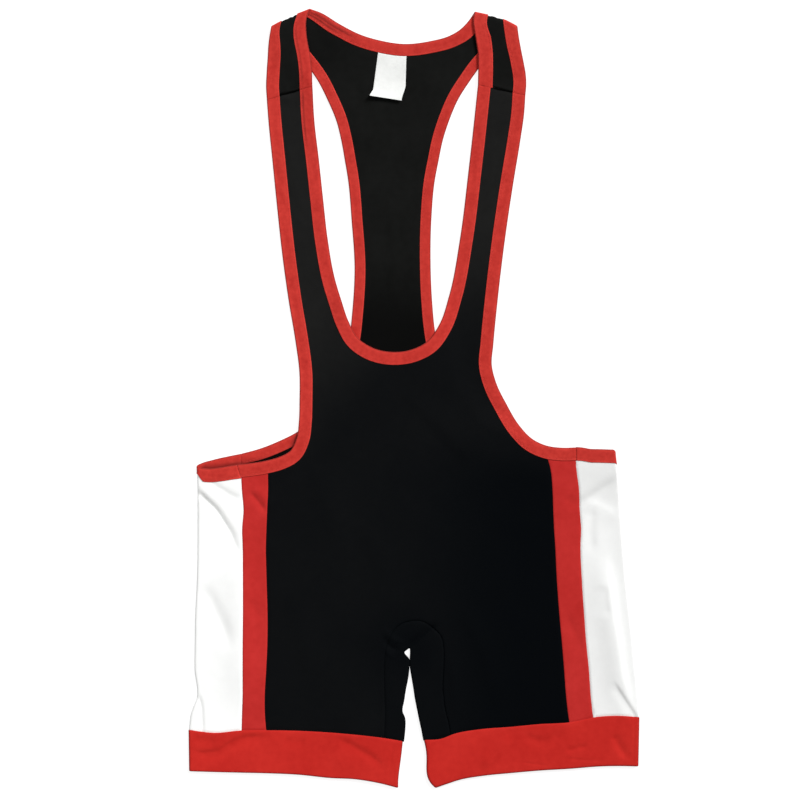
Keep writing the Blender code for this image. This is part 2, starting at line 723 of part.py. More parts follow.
# ---------------------------------------------------------------- gusset
def gusset_rows(hems):
    """Rows across the gusset, from hem to hem: the inner leg's fold and the arched seam."""
    rows = smooth_line(GUSSET, 13.0)
    for row, side in ((0, "left"), (-1, "right")):
        rows[row][1] = height_on(hems[side], rows[row][0]) + SEAM_GAP
        rows[row][3] = height_on(hems[side], rows[row][2]) + SEAM_GAP
    return rows


def gusset(rows, material):
    """One strip round both inner legs, folded along the slit between them."""
    inset = FOLD_RADIUS + PANEL_WALL / 2
    sheet = []
    for row in rows:
        fold, seam = row[:2], row[2:]
        across = unit(seam - fold)
        edge = seam - across * HALF_GAP
        axis = fold + across * inset
        height = back_height(axis) + FOLD_RADIUS
        flats = [axis + (edge - axis) * share for share in (0.0, 0.5, 1.0)]
        section = [Vector((x, y, back_height((x, y)))) for x, y in flats[::-1]]
        section += bend_points(axis, -across, height, 1)
        section += [on_front(point, 0.0) for point in flats]
        sheet.append(section)
    return grid_sheet("gusset", sheet, PANEL_WALL, material)


def arch_points(rows):
    """The panels' side of the arched seam, from the left hem to the right hem."""
    points = []
    for row in rows:
        fold, seam = row[:2], row[2:]
        points.append(tuple(seam + unit(seam - fold) * HALF_GAP))
    return points


# ---------------------------------------------------------------- main panels
def hem_points(hem_top, first_x, last_x):
    """Points just above a hem band's seam, between two seams."""
    count = max(1, round(abs(last_x - first_x) / PANEL_GRID))
    return [(x, height_on(hem_top, x) + SEAM_GAP) for x in np.linspace(first_x, last_x, count + 1)]


def before_seam(points, column, shift):
    """The part of an edge on the body's side of a seam, ended on the seam itself."""
    kept = []
    gap = [point[0] - seam_x(column, point[1]) - shift for point in points]
    side = math.copysign(1.0, gap[0])
    for index, point in enumerate(points):
        if gap[index] * side <= 0:
            share = gap[index - 1] / (gap[index - 1] - gap[index])
            kept.append(tuple(points[index - 1] + (point - points[index - 1]) * share))
            return kept
        kept.append(tuple(point))
    return kept


def seam_down(column, top_y, low_y, shift):
    """Points of a lengthwise seam, without its two ends."""
    count = round(abs(top_y - low_y) / ROW_STATION)
    return level_line(column, np.linspace(top_y, low_y, count + 1)[1:-1], shift)


def leg_outline(left_top, right_top, columns, hems, arch):
    """Outline of a body panel below its arm edges, from the right one down and up to the left."""
    left_column, right_column = columns
    right_low = hem_meeting(hems["right"], lambda y: seam_x(right_column, y) - HALF_GAP)[0]
    left_low = hem_meeting(hems["left"], lambda y: seam_x(left_column, y) + HALF_GAP)[0]
    right_hem = hem_points(hems["right"], right_low, arch[-1][0])
    left_hem = hem_points(hems["left"], arch[0][0], left_low)
    right_seam = seam_down(right_column, right_top[1], right_hem[0][1], -HALF_GAP)
    left_seam = seam_down(left_column, left_hem[-1][1], left_top[1], HALF_GAP)
    return right_seam + right_hem[:-1] + arch[::-1] + left_hem[1:] + left_seam


def front_density(point):
    return 2 if abs(depth_in_back(point)) < FINE_REACH else 1


def back_density(point):
    """As on the front, but with no points in the folds' rolls, whose lines are tied."""
    for fold in FOLDS.values():
        if -ROLL_MARGIN < past_fold(fold, point) < ROLL + ROLL_MARGIN:
            return 0
    return front_density(point)


def front_panel(strips, hems, arch, material):
    right = before_seam(strips["arm_right"].seam, "black_right", -HALF_GAP)
    left = before_seam(strips["arm_left"].seam, "black_left", HALF_GAP)
    below = leg_outline(left[-1], right[-1], ("black_left", "black_right"), hems, arch)
    outline = [tuple(point) for point in strips["neck"].seam] + right + below + left[::-1]
    return cloth_panel("front_panel", outline, on_front, material, front_density)


def back_panel(strips, hems, arch, material):
    """T back in its pattern's plane; ties keep its triangles in step with each roll."""
    left, neck, right = (strips[key] for key in ("arm_left", "neck", "arm_right"))
    below = leg_outline(left.seam[-1], right.seam[-1], ("white_left", "white_right"), hems, arch)
    outline = [tuple(point) for line in (left.seam[::-1], neck.seam, right.seam) for point in line]
    first_neck, first_right = len(left.seam), len(left.seam) + len(neck.seam)
    ties = []
    for step in range(BEND_STEPS + 1):
        ties.append((len(left.seam) - 1 - left.levels["left", step], first_neck + neck.levels["left", step]))
        ties.append((first_right + right.levels["right", step], first_neck + neck.levels["right", step]))
    return cloth_panel("back_panel", outline + below, on_back, material, back_density, ties)


def care_label(material):
    """Small satin label; its free end curls up off the cloth."""
    top_left, top_right, low_right, low_left = (np.array(corner, float) for corner in LABEL_CORNERS)
    rows = []
    for step in range(7):
        down = step / 6
        row = []
        for column in range(4):
            share = column / 3
            top = top_left + (top_right - top_left) * share
            low = low_left + (low_right - low_left) * share
            point = top + (low - top) * down
            rest = PANEL_WALL / 2 + SEAM_GAP + LABEL_WALL / 2
            row.append(Vector((*point, back_height(point) + rest + LABEL_CURL * down ** 3)))
        rows.append(row)
    return grid_sheet("care_label", rows, LABEL_WALL, material)


# ---------------------------------------------------------------- materials and the whole
def cloth_material(name, colour, roughness):
    material = bpy.data.materials.new(name)
    material.use_nodes = True
    shader = material.node_tree.nodes["Principled BSDF"]
    shader.inputs["Base Color"].default_value = (*colour, 1.0)
    shader.inputs["Roughness"].default_value = roughness
    shader.inputs["Metallic"].default_value = 0.0
    return material


def clear_scene():
    for old in list(bpy.data.objects):
        bpy.data.objects.remove(old, do_unlink=True)


def build():
    black = cloth_material("black_knit", (0.006, 0.007, 0.009), 0.75)
    red = cloth_material("red_knit", (0.56, 0.030, 0.026), 0.7)
    elastic = cloth_material("red_elastic", (0.56, 0.030, 0.026), 0.6)
    white = cloth_material("white_knit", (0.88, 0.88, 0.87), 0.75)
    satin = cloth_material("label_satin", (0.85, 0.85, 0.85), 0.5)
    back, front = back_strips(), front_strips()
    hems = {side: hem_line(side, 0.0) for side in HEMS}
    rows = gusset_rows(hems)
    arch = arch_points(rows)
    back_panel(back, hems, arch, black)
    front_panel(front, hems, arch, black)
    gusset(rows, black)
    care_label(satin)
    binding("neck_binding_back", back["neck"], on_back, elastic)
    binding("neck_binding_front", front["neck"], on_front, elastic)
    for side in ("left", "right"):
        binding("arm_binding_back_" + side, back["arm_" + side], on_back, elastic)
        binding("arm_binding_front_" + side, front["arm_" + side], on_front, elastic)
        side_binding(side, elastic)
        side_panel(side, hems[side], white)
        stripe(side, front["arm_" + side].seam, hems[side], red)
        hem_band(side, red)


clear_scene()
SINGLET = bpy.data.collections.new("wrestling_singlet")
bpy.context.scene.collection.children.link(SINGLET)
build()
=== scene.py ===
"""Look of a wrestling singlet laid flat, face up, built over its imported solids.

Every cut piece is a thin shell of cloth on its solid's form. Panels run on under the folded
bindings, and a seam's allowance lies under the neighbour that covers it.
Lengths in the tables are millimetres: x runs to the right and y towards the shoulders.
"""
import math
from collections import namedtuple

import bpy
import numpy as np
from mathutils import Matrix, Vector
from mathutils.geometry import delaunay_2d_cdt


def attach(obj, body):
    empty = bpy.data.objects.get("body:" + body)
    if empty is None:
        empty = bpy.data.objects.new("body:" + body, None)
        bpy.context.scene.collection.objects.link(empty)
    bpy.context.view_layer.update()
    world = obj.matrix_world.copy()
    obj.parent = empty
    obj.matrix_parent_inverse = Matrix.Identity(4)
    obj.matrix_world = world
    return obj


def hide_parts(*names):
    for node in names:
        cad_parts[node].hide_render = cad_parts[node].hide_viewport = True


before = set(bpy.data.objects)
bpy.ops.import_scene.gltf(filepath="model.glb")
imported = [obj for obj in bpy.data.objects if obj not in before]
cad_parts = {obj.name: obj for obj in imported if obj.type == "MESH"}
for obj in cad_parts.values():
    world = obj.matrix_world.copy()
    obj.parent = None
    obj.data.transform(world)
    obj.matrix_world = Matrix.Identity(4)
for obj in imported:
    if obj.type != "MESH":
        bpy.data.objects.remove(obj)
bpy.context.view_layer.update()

MM = 0.001

# ---- Cloth ----
CLOTH_WALL, HEM_WALL, LABEL_WALL = 0.7, 1.6, 0.4
EDGE_ROUND = 0.4                # reach of a cloth edge's rounding
BINDING_HALF = 1.1              # half the thickness of a folded binding
BINDING_LEAF = 0.65             # thickness of each of its two leaves
BINDING_WIDTH, SIDE_BINDING = 13.0, 13.6
NARROW_ARM, NARROW_NECK, WIDE_NECK = 10.9, 12.2, 14.8
NARROW_FROM, NARROW_TO = 85.0, 120.0       # distance from an end over which a binding narrows
WIDE_FROM, WIDE_TO = 75, 110               # distance from the last end up to which it is wide
# Width of a binding along its strap's fold, as a share of the width elsewhere
FOLD_REACH = {"arm": {"left": 0.88, "right": 1.24}, "neck": {"left": 1.03, "right": 0.93}}
FOLD_OWN = 70                   # a binding's points further than this to the side are off the strap
SIDE_PINCH = {"left": 5.8, "right": 0.0}   # how much narrower a side binding is on its fold
CUT_REACH = 25.0                # distance from a binding's end over which it turns to its cut
TUCK = 6.0                      # how far a panel runs into its binding
ALLOWANCE = 3.2                 # how far a panel runs under its neighbour at a seam
ALLOWANCE_FROM, ALLOWANCE_TO = 2.5, 9.0    # distance from a seam's end over which that grows
SEAM_DROP, HEM_DROP, SHOULDER_DROP = 1.15, 0.75, 0.72
SEAM_SINK = 0.28                # dip of the upper piece's edge at a seam
SEAM_GAP = 0.05
FOLD_RADIUS, HEM_RADIUS = 1.3, 1.4
HEM_DEPTH, HEM_ROUND = 40, 430  # a hem band's pattern: from its seam to its fold, and round the leg
LABEL_WIDTH, LABEL_LENGTH = 30, 47

# ---- How the layers lie: heights, and the distances inside the back's bound edge they span ----
BOUND_HEIGHT, PANEL_HEIGHT = 1.1, 0.5
SAG_FROM, SAG_TO = 12.0, 40.0
RAMP_FROM, RAMP_TO = -28.0, -3.0

# ---- Mesh spacing ----
PANEL_SPACING, BACK_SPACING, SIDE_SPACING, GUSSET_SPACING = 2.6, 3.0, 1.4, 1.6
EDGE_STEP, BACK_EDGE_STEP, BINDING_STATION = 2.5, 3.0, 2.0
RIM_RINGS = (0.12, 0.4, 1.4)    # rings of points this far inside a panel's outline
ROW_RISE = 0.87                 # distance of a panel's staggered rows, as a share of its spacing
ROLL_STEPS, FOLD_COLUMNS = 10, 9           # steps round a strap's fold, points round a side fold
JOIN_REACH = 0.8                # ends of two edges that are closer than this are one point
BATCH = 3000                    # points that are measured at once

# ---- Stitches ----
STITCH, STITCH_PITCH, THREAD_RADIUS, THREAD_SIDES = 2.2, 2.9, 0.24, 6
STITCH_INSET, STITCH_SUNK = 1.9, 0.14      # from the binding's edge on the cloth, and into its face
# Rings of a thread: share of its length, share of its radius, lift
THREAD_RINGS = (
    (0.0, 0.25, -0.28), (0.18, 0.8, -0.05), (0.5, 1.0, 0.0), (0.82, 0.8, -0.05), (1.0, 0.25, -0.28),
)

Fold = namedtuple("Fold", "base along outward")
Strip = namedtuple("Strip", "outer reach width along")
Crease = namedtuple("Crease", "height left_reach right_reach line")

# ---- Edges and seams: x, y ----
SHOULDER_TOPS = {
    "left": ((-145.5, 370.5), (-103.5, 390.1)),
    "right": ((59.0, 387.3), (103.0, 372.6)),
}
SHOULDER_BULGES = {"left": (1.2, 0.8), "right": (2.3, 1.3)}   # height, and lean to the right end
BULGE_FROM, BULGE_TO = 4.0, 34.0
BACK_NECK = (
    (-103.5, 389.4), (-94, 386), (-74, 374), (-54, 363.9), (-34, 357.9), (-10, 354.4),
    (16, 357.2), (36, 362.8), (46, 368.7), (54, 376.7), (59.5, 384.5),
)
BACK_ARM_LEFT = (
    (-141, 370.4), (-130, 359), (-114, 341), (-104.2, 329), (-96.6, 318), (-86.4, 298),
    (-78, 278), (-72.9, 258), (-69.3, 238), (-66, 218), (-62.5, 178), (-59.5, 128), (-61.5, 90),
    (-67, 48), (-76.5, 18), (-92, -9.5), (-114, -32), (-134, -42.6), (-154, -50.6), (-173, -55.8),
)
BACK_ARM_RIGHT = (
    (102.5, 371), (91, 356), (77, 343), (65.8, 331), (56.4, 318), (43.8, 298), (35.3, 278),
    (28.9, 258), (24.7, 238), (20.9, 218), (17.4, 178), (16.7, 133), (18.1, 98), (22, 61),
    (30, 28), (43.5, -2), (63, -27), (88, -43), (121, -51.6), (162, -54),
)
TOP_ARM_LEFT = (
    (-144.4, 363), (-145.8, 352), (-146.5, 341), (-147.5, 326), (-148.1, 312), (-147.3, 298.3),
)
TOP_NECK_LEFT = (
    (-107.4, 378), (-107.5, 366), (-106.2, 355), (-104, 344), (-102.3, 330), (-101.5, 311.7),
)
TOP_NECK_RIGHT = ((59.2, 378), (60.1, 368), (61.8, 358), (63.8, 346), (64.2, 332), (63.9, 313.3))
TOP_ARM_RIGHT = (
    (104.4, 364), (106.9, 350), (109.8, 336), (111.9, 324), (112.4, 314), (111.5, 302.8),
)
FRONT_NECK = (
    TOP_NECK_LEFT[-1], (-99.7, 278), (-95.1, 238), (-90.8, 198), (-86.2, 158), (-78.8, 118),
    (-72.4, 97), (-65.6, 77), (-56, 60), (-42, 50.5), (-21, 46), (-2, 48.6), (13, 56.4), (25, 73),
    (35, 102), (45.8, 158), (54.6, 228), (60.2, 278), TOP_NECK_RIGHT[-1],
)
FRONT_ARM_LEFT = (
    TOP_ARM_LEFT[-1], (-145.8, 278), (-141.8, 238), (-137.8, 198), (-131.2, 138), (-125.6, 98),
    (-118.9, 58), (-114.8, 26), (-114.6, -2), (-115.2, -24), (-117.4, -40), (-124, -53),
    (-134, -58.6), (-148, -62.6), (-166, -65.5), (-177.2, -66.7),
)
FRONT_ARM_RIGHT = (
    TOP_ARM_RIGHT[-1], (110.4, 286), (106.5, 258), (99.9, 218), (91, 158), (83.8, 98), (79.4, 53),
    (77.9, 33), (82, 16), (92.6, -6.1), (106, -28.2), (118.5, -41), (132, -47.4), (148, -49.7),
    (162, -49.4),
)
FRONT_SEAM_CUT = {"left": (0.316, -0.949), "right": (0.0, -1.0)}
SIDE_TOPS = {       # free edge of a side panel: x, y on the back layer, y on the front layer
    "left": ((-173, -55.8, -66.3), (-184, -58, -67.8), (-194, -60.1, -69.5), (-204, -62.6, -70.6),
             (-210, -64.2, -70.4), (-215.5, -66.4, -69.2)),
    "right": ((162, -54, -49), (168, -54.1, -49.4), (176, -54.3, -50.8), (186, -54.2, -51.1),
              (198, -54, -51.5)),
}
Level = namedtuple("Level", "y fold_left white_left black_left black_right white_right fold_right")
LEVELS = tuple(Level(*row) for row in (
    (-50, -217.2, -173, -145, 130.0, 161.0, 200.6),
    (-72, -217.0, -173, -146, 136.6, 162.5, 203.0),
    (-92, -216.6, -172.1, -145.9, 138.5, 165.1, 204.8),
    (-112, -216.6, -170.5, -146.8, 139.2, 165.8, 206.2),
    (-132, -216.6, -171.9, -147.6, 140.1, 167.2, 207.7),
    (-147, -216.6, -171.4, -148.1, 141.1, 166.6, 208.9),
    (-182, -217.3, -171, -147.4, 142.8, 167.9, 212.0),
    (-222, -219.1, -171, -146.4, 145.8, 170.6, 216.5),
    (-244, -219.4, -171.2, -146.6, 147.8, 172.2, 218.8),
    (-272, -219.6, -171.3, -147.8, 150.1, 175.0, 221.4),
    (-300, -217.4, -171.4, -149.3, 152.2, 177.0, 224.3),
    (-314, -222.6, -171.9, -149.2, 153.8, 178.5, 225.2),
    (-345, -226.0, -172.8, -146.5, 158.6, 183.6, 225.8),
))
SEAM_ENDS = {"black_left": -332.0, "white_left": -333.0, "black_right": -326.0,
             "white_right": -322.0}        # y where the lengthwise seams reach the hem bands
TOP_LEVEL, HEM_LEVEL = -70.0, -330.0       # y near both ends of a side panel
HEMS = {            # a hem band: x, y of its seam, x, y of its lower fold
    "left": ((-225.6, -332, -225, -373.3), (-199, -334.8, -199, -374.1),
             (-174, -332.6, -174, -374.7), (-144, -332.3, -144, -375.4),
             (-114, -332.9, -114, -376.9), (-84, -334.6, -85, -380), (-54, -337.2, -57, -381.5),
             (-32, -339.8, -35, -385.2), (-11.1, -343.2, -15.7, -390.1)),
    "right": ((9.8, -342, 21.5, -390), (26, -341, 33, -386), (41, -335.6, 46, -381.8),
              (66, -331.3, 68, -378), (96, -328.9, 96, -375.2), (126, -326.1, 126, -372.6),
              (156, -324.3, 156, -370.8), (186, -318.6, 186, -368.5), (206, -317.8, 206, -368.1),
              (225.6, -319.4, 224.6, -368.5)),
}
INNER_BOW = {"left": -0.8, "right": -5.4}  # bend of a hem band's inner end
INNER_BOW_REACH = 25.0
GUSSET = (          # x, y of the inner legs' fold, x, y of the gusset's seam
    (-9.7, -342.5, -30.0, -340.2), (-8.5, -330.0, -29.4, -327.0), (-8.7, -320.5, -29.0, -315.0),
    (-11.4, -313.5, -29.3, -305.0), (-9.7, -303.0, -29.7, -292.0), (-8.0, -292.0, -30.0, -280.0),
    (-5.8, -281.0, -30.0, -270.0), (-4.4, -269.0, -29.6, -261.0), (-4.35, -262.0, -28.0, -250.0),
    (-9.6, -255.4, -24.0, -239.0), (-7.0, -252.2, -16.0, -228.0), (-4.5, -250.6, -6.0, -223.5),
    (-3.8, -253.5, 7.0, -223.0), (-4.27, -261.5, 18.0, -229.0), (-4.2, -269.0, 27.0, -238.0),
    (-2.3, -281.0, 30.0, -252.0), (-0.5, -292.0, 29.8, -270.0), (1.0, -302.0, 29.0, -290.0),
    (3.0, -312.0, 30.0, -301.0), (5.0, -322.0, 31.5, -312.0), (7.2, -332.0, 35.0, -326.0),
    (9.0, -341.8, 36.5, -337.0),
)
LABEL_CORNERS = ((-36.0, 346.0), (-7.6, 343.0), (-8.9, 297.3), (-41.8, 301.6))

# ---- Creases: height, below zero in a trough, reach to the left and to the right of its
# ---- line, and the line's points ----
FRONT_CREASES = tuple(Crease(*row) for row in (
    # left side panel
    (-2.0, 4.0, 2.6, ((-226, -86), (-216, -95), (-209, -102), (-199, -111), (-190, -124),
                      (-184, -135), (-179, -148), (-168, -163))),
    (0.9, 7.0, 3.0, ((-220, -84), (-206, -98), (-194, -112), (-186, -126), (-180, -138))),
    (-0.9, 3.4, 4.5, ((-208, -82), (-202, -86), (-192, -92), (-182, -98), (-168, -102))),
    (-1.6, 7.5, 7.0, ((-210, -184), (-204, -202), (-197, -217), (-190, -232), (-184, -256))),
    (2.2, 12.0, 15.0, ((-173, -140), (-174, -210), (-173, -262), (-172, -320))),
    (-1.2, 1.6, 2.2, ((-216, -294), (-213, -308), (-211.5, -340))),
    # right side panel
    (0.6, 5.0, 12.0, ((167, -105), (180, -107), (192, -113), (206, -123))),
    (-1.0, 4.5, 4.5, ((158, -109), (167, -104), (178, -97), (190, -89), (204, -79))),
    (-0.9, 5.0, 6.0, ((179, -106), (177, -132), (178, -160))),
    (2.4, 6.0, 14.0, ((190, -150), (195, -200), (202, -246), (207, -280), (217, -312),
                      (228, -330))),
    (-0.7, 4.0, 8.0, ((190, -186), (191, -204), (194, -222))),
    (-1.2, 2.0, 6.0, ((198, -282), (208, -298), (216, -310), (228, -330))),
    # crotch
    (-1.8, 4.0, 4.4, ((26, -224), (17, -231), (8, -239), (-3, -249), (-8, -256))),
    (0.8, 3.0, 3.0, ((-30, -230), (-25, -238), (-17, -243), (-9, -243))),
    (-0.8, 2.2, 2.2, ((-31, -238), (-27, -246), (-19, -251), (-12, -252))),
    (0.6, 2.4, 2.4, ((-30, -248), (-25, -256), (-18, -261))),
    # stripes
    (-1.0, 2.0, 3.6, ((-166, -92), (-157, -102), (-146, -117))),
    (0.6, 5.0, 2.6, ((-160, -89), (-151, -99), (-142, -112))),
    (-0.5, 5.0, 5.0, ((-164, -200), (-158, -214), (-150, -222))),
    (-0.5, 5.0, 5.0, ((152, -98), (160, -108), (166, -112))),
    (-0.5, 4.0, 7.0, ((150, -214), (160, -232), (170, -262))),
    # front panel
    (0.9, 14.0, 8.0, ((-14, 12), (24, -26), (66, -72))),
    (0.6, 15.0, 9.0, ((-60, -118), (-40, -150), (-20, -196))),
    (-0.6, 4.0, 6.0, ((60, 58), (68, 50), (76, 40))),
    (-0.7, 15.0, 9.0, ((92, -20), (56, -62), (14, -92))),
    (0.6, 16.0, 10.0, ((-104, -60), (-84, -110), (-78, -170))),
    (0.6, 14.0, 9.0, ((-130, -180), (-112, -230), (-98, -300))),
    (0.7, 13.0, 8.0, ((44, -200), (70, -254), (84, -318))),
    (-0.5, 14.0, 10.0, ((112, -120), (104, -170), (108, -226))),
    (-0.6, 5.0, 8.0, ((-26, -262), (-34, -290), (-36, -330))),
    (0.6, 7.0, 5.0, ((34, -252), (40, -284), (36, -326))),
    (0.6, 3.2, 4.0, ((-137, 306), (-124, 299), (-114, 303))),
    (0.4, 5.0, 5.0, ((-128, 262), (-121, 230), (-118, 190))),
    (0.4, 5.0, 5.0, ((84, 262), (77, 224), (74, 180))),
))
HEM_CREASES = tuple(Crease(*row) for row in (
    (-1.3, 2.8, 8.0, ((-226, -351), (-213, -355), (-203, -355), (-194, -353), (-187, -348),
                      (-172, -341), (-140, -338))),
    (-0.5, 4.0, 6.0, ((-222, -341), (-206, -343), (-196, -345))),
    (-0.5, 4.0, 6.0, ((-132, -342), (-119, -344), (-106, -342))),
    (-0.9, 3.5, 5.0, ((-81, -341), (-67, -345), (-53, -353), (-41, -360), (-28, -374))),
    (0.5, 9.0, 9.0, ((-84, -358), (-69, -364), (-54, -374))),
    (-0.3, 0.9, 0.9, ((-20.5, -342), (-23, -362), (-26.5, -386))),
    (0.9, 7.0, 3.5, ((67, -372), (76, -363), (86, -353), (97, -334))),
    (-0.7, 4.0, 6.0, ((106, -336), (131, -343), (154, -331))),
    (-0.7, 2.5, 2.5, ((151, -354), (163, -350), (176, -347))),
    (-0.35, 0.9, 0.9, ((147, -360.5), (171, -362), (196, -362))),
    (-0.3, 0.9, 0.9, ((106, -364), (120, -366), (134, -367))),
    (-1.0, 5.0, 4.0, ((199, -335), (206, -350), (215, -362))),
    (-0.3, 0.9, 0.9, ((220.5, -316), (220.5, -340), (219.5, -370))),
))
BACK_CREASES = tuple(Crease(*row) for row in (
    (0.7, 6.0, 4.0, ((-24, 206), (-21, 140), (-22, 72))),
    (0.6, 9.0, 6.0, ((-70, 338), (-50, 312), (-34, 270))),
    (0.5, 9.0, 6.0, ((20, 330), (2, 296), (-8, 250))),
    (0.4, 7.0, 5.0, ((-36, 190), (-40, 140), (-34, 90))),
))


# ---- Lines and noise ----
def smooth_line(rows, step):
    """Smooth line through the rows' points, with a point about every step millimetres."""
    p = np.array(rows, float)
    chord = np.linalg.norm(np.diff(p, axis=0), axis=1)[:, None]
    slope = np.diff(p, axis=0) / chord
    middle = (chord[1:] * slope[:-1] + chord[:-1] * slope[1:]) / (chord[1:] + chord[:-1])
    tangent = np.vstack([slope[:1], middle, slope[-1:]])
    pieces = []
    for start, end, h, leave, arrive in zip(p, p[1:], chord, tangent, tangent[1:]):
        t = np.linspace(0, 1, max(1, round(h[0] / step)), endpoint=False)[:, None]
        pieces.append((2 * t**3 - 3 * t**2 + 1) * start + (t**3 - 2 * t**2 + t) * h * leave
                      + (3 * t**2 - 2 * t**3) * end + (t**3 - t**2) * h * arrive)
    return np.vstack(pieces + [p[-1:]])


def arc_lengths(line):
    steps = np.linalg.norm(np.diff(line, axis=0), axis=1)
    return np.concatenate([[0.0], np.cumsum(steps)])


def rows_at(where, known, rows):
    """Rows at some places, from the rows at the known places."""
    return np.column_stack([np.interp(where, known, column) for column in rows.T])


def points_at(line, distances):
    return rows_at(distances, arc_lengths(line), line)


def run(first, last, step=EDGE_STEP):
    """Even numbers from first to last, about a step apart."""
    return np.linspace(first, last, max(2, round(abs(last - first) / step) + 1))


def evenly(line, step=EDGE_STEP):
    """The line with its points spaced evenly."""
    return points_at(line, run(0, arc_lengths(line)[-1], step))


def smoothstep(low, high, value):
    t = np.clip((np.asarray(value, float) - low) / (high - low), 0, 1)
    return t * t * (3 - 2 * t)


def unit(vector):
    return np.array(vector, float) / np.linalg.norm(vector)


def value_noise(u, v, seed):
    """Smooth noise from 0 to 1 over a plane."""
    left, low = np.floor(u), np.floor(v)
    across, up = smoothstep(0, 1, u - left), smoothstep(0, 1, v - low)

    def corner(right, top):
        value = np.sin((left + right) * 127.1 + (low + top) * 311.7 + seed * 74.7) * 43758.5453
        return value - np.floor(value)

    under = corner(0, 0) * (1 - across) + corner(1, 0) * across
    over = corner(0, 1) * (1 - across) + corner(1, 1) * across
    return under * (1 - up) + over * up


COLUMNS = {
    column: smooth_line([(level.y, getattr(level, column)) for level in LEVELS], 2.0)[::-1]
    for column in Level._fields[1:]
}


def seam_x(column, y):
    """x of a lengthwise seam or fold at y."""
    return np.interp(y, COLUMNS[column][:, 0], COLUMNS[column][:, 1])


def height_on(line, x):
    """y of a line that runs across, at x."""
    order = np.argsort(line[:, 0])
    return np.interp(x, line[order, 0], line[order, 1])


def nearest_on(points, line):
    """For each point: distance from the line, share of the way along it, and side of it."""
    starts, span = line[:-1], np.diff(line, axis=0)
    squared = (span ** 2).sum(1)
    arc = arc_lengths(line)
    distance, share, side = (np.empty(len(points)) for _ in range(3))
    for first in range(0, len(points), BATCH):
        batch = slice(first, first + BATCH)
        some = points[batch, None, :] - starts
        along = np.clip((some * span).sum(2) / squared, 0, 1)
        gap = some - span * along[..., None]
        far = (gap ** 2).sum(2)
        piece = far.argmin(1)
        row = np.arange(len(piece))
        distance[batch] = np.sqrt(far[row, piece])
        share[batch] = (arc[piece] + along[row, piece] * np.diff(arc)[piece]) / arc[-1]
        chosen, ahead = gap[row, piece], span[piece]
        side[batch] = np.sign(ahead[:, 0] * chosen[:, 1] - ahead[:, 1] * chosen[:, 0])
    return distance, share, side


def inside(outline, points):
    """True for each point that a closed outline holds."""
    x, y = points.T
    crossings = np.zeros(len(points), int)
    for (x0, y0), (x1, y1) in zip(outline, np.roll(outline, -1, axis=0)):
        if y0 != y1:
            level = (y0 > y) != (y1 > y)
            crossings += level & (x < x0 + (y - y0) / (y1 - y0) * (x1 - x0))
    return crossings % 2 == 1


def from_edge(points, outline):
    """Distance of points from a closed outline."""
    return nearest_on(points, np.vstack([outline, outline[:1]]))[0]


def well_inside(points, outline, clearance):
    """The points inside an outline that keep clear of it."""
    points = points[inside(outline, points)]
    return points[from_edge(points, outline) > clearance]


# ---- Folds and heights ----
def make_fold(ends):
    """The line where a strap starts to roll over."""
    start, end = (np.array(point, float) for point in ends)
    along = unit(end - start)
    outward = np.array((-along[1], along[0]))
    return Fold(start - outward * (FOLD_RADIUS + BINDING_HALF), along, outward)


FOLDS = {side: make_fold(ends) for side, ends in SHOULDER_TOPS.items()}
ROLL = math.pi * FOLD_RADIUS


def past_fold(fold, points):
    return (np.asarray(points, float) - fold.base) @ fold.outward


def bulged(side, points, before):
    """Points moved outwards where a strap's top bulges; before is how far the fold is from them."""
    fold, (height, lean) = FOLDS[side], SHOULDER_BULGES[side]
    length = np.linalg.norm(np.subtract(*SHOULDER_TOPS[side]))
    share = np.clip((points - fold.base) @ fold.along / length, 0, 1)
    near = 1 - smoothstep(BULGE_FROM, BULGE_TO, before)
    return points + np.outer(height * np.sin(np.pi * share ** lean) * near, fold.outward)


def unfolded(fold, points):
    """Pattern points of points that lie on the strap's folded end."""
    points = np.array(points, float)
    return points + np.outer(ROLL - 2 * past_fold(fold, points), fold.outward)


def unfolded_direction(fold, direction):
    direction = np.asarray(direction, float)
    return direction - 2 * np.dot(direction, fold.outward) * fold.outward


def bound_line(rows, side_rows):
    line = list(rows) + [row[:2] for row in side_rows[1:]]
    return smooth_line(line + [(line[-1][0] * 1.2, line[-1][1])], 6.0)


BOUND_LINES = (
    bound_line(BACK_ARM_LEFT, SIDE_TOPS["left"]),
    smooth_line(BACK_NECK, 6.0),
    bound_line(BACK_ARM_RIGHT, SIDE_TOPS["right"]),
)
FAR = 600.0
BACK_SILHOUETTE = np.vstack([
    BOUND_LINES[1], BOUND_LINES[2], [(FAR, 0.0), (FAR, -FAR), (-FAR, -FAR), (-FAR, 0.0)],
    BOUND_LINES[0][::-1],
])


def depth_in_back(points):
    """Distance from the back layer's bound edge, positive inside the back layer."""
    distance = np.min([nearest_on(points, line)[0] for line in BOUND_LINES], axis=0)
    return np.where(inside(BACK_SILHOUETTE, points), distance, -distance)


def crease_field(points, creases):
    """Sum of the ridges and troughs, each with its own reach to either side."""
    total = np.zeros(len(points))
    for crease in creases:
        line = smooth_line(crease.line, 2.5)
        reach = 3 * max(crease.left_reach, crease.right_reach)
        close = np.all((points > line.min(0) - reach) & (points < line.max(0) + reach), axis=1)
        if close.any():
            distance, share, side = nearest_on(points[close], line)
            off = distance / np.where(side > 0, crease.left_reach, crease.right_reach)
            fade = smoothstep(0, 0.25, share) * (1 - smoothstep(0.7, 1, share))
            total[close] += crease.height * fade * np.exp(-off ** 2)
    return total


def undulation(points):
    """Slow rise and fall of cloth that doesn't lie quite flat."""
    x, y = points.T
    slow = value_noise(x / 47, y / 71, 3) - 0.5
    mid = value_noise((x + 0.5 * y) / 23, (y - 0.3 * x) / 34, 5) - 0.5
    return 0.5 * slow + 0.24 * mid


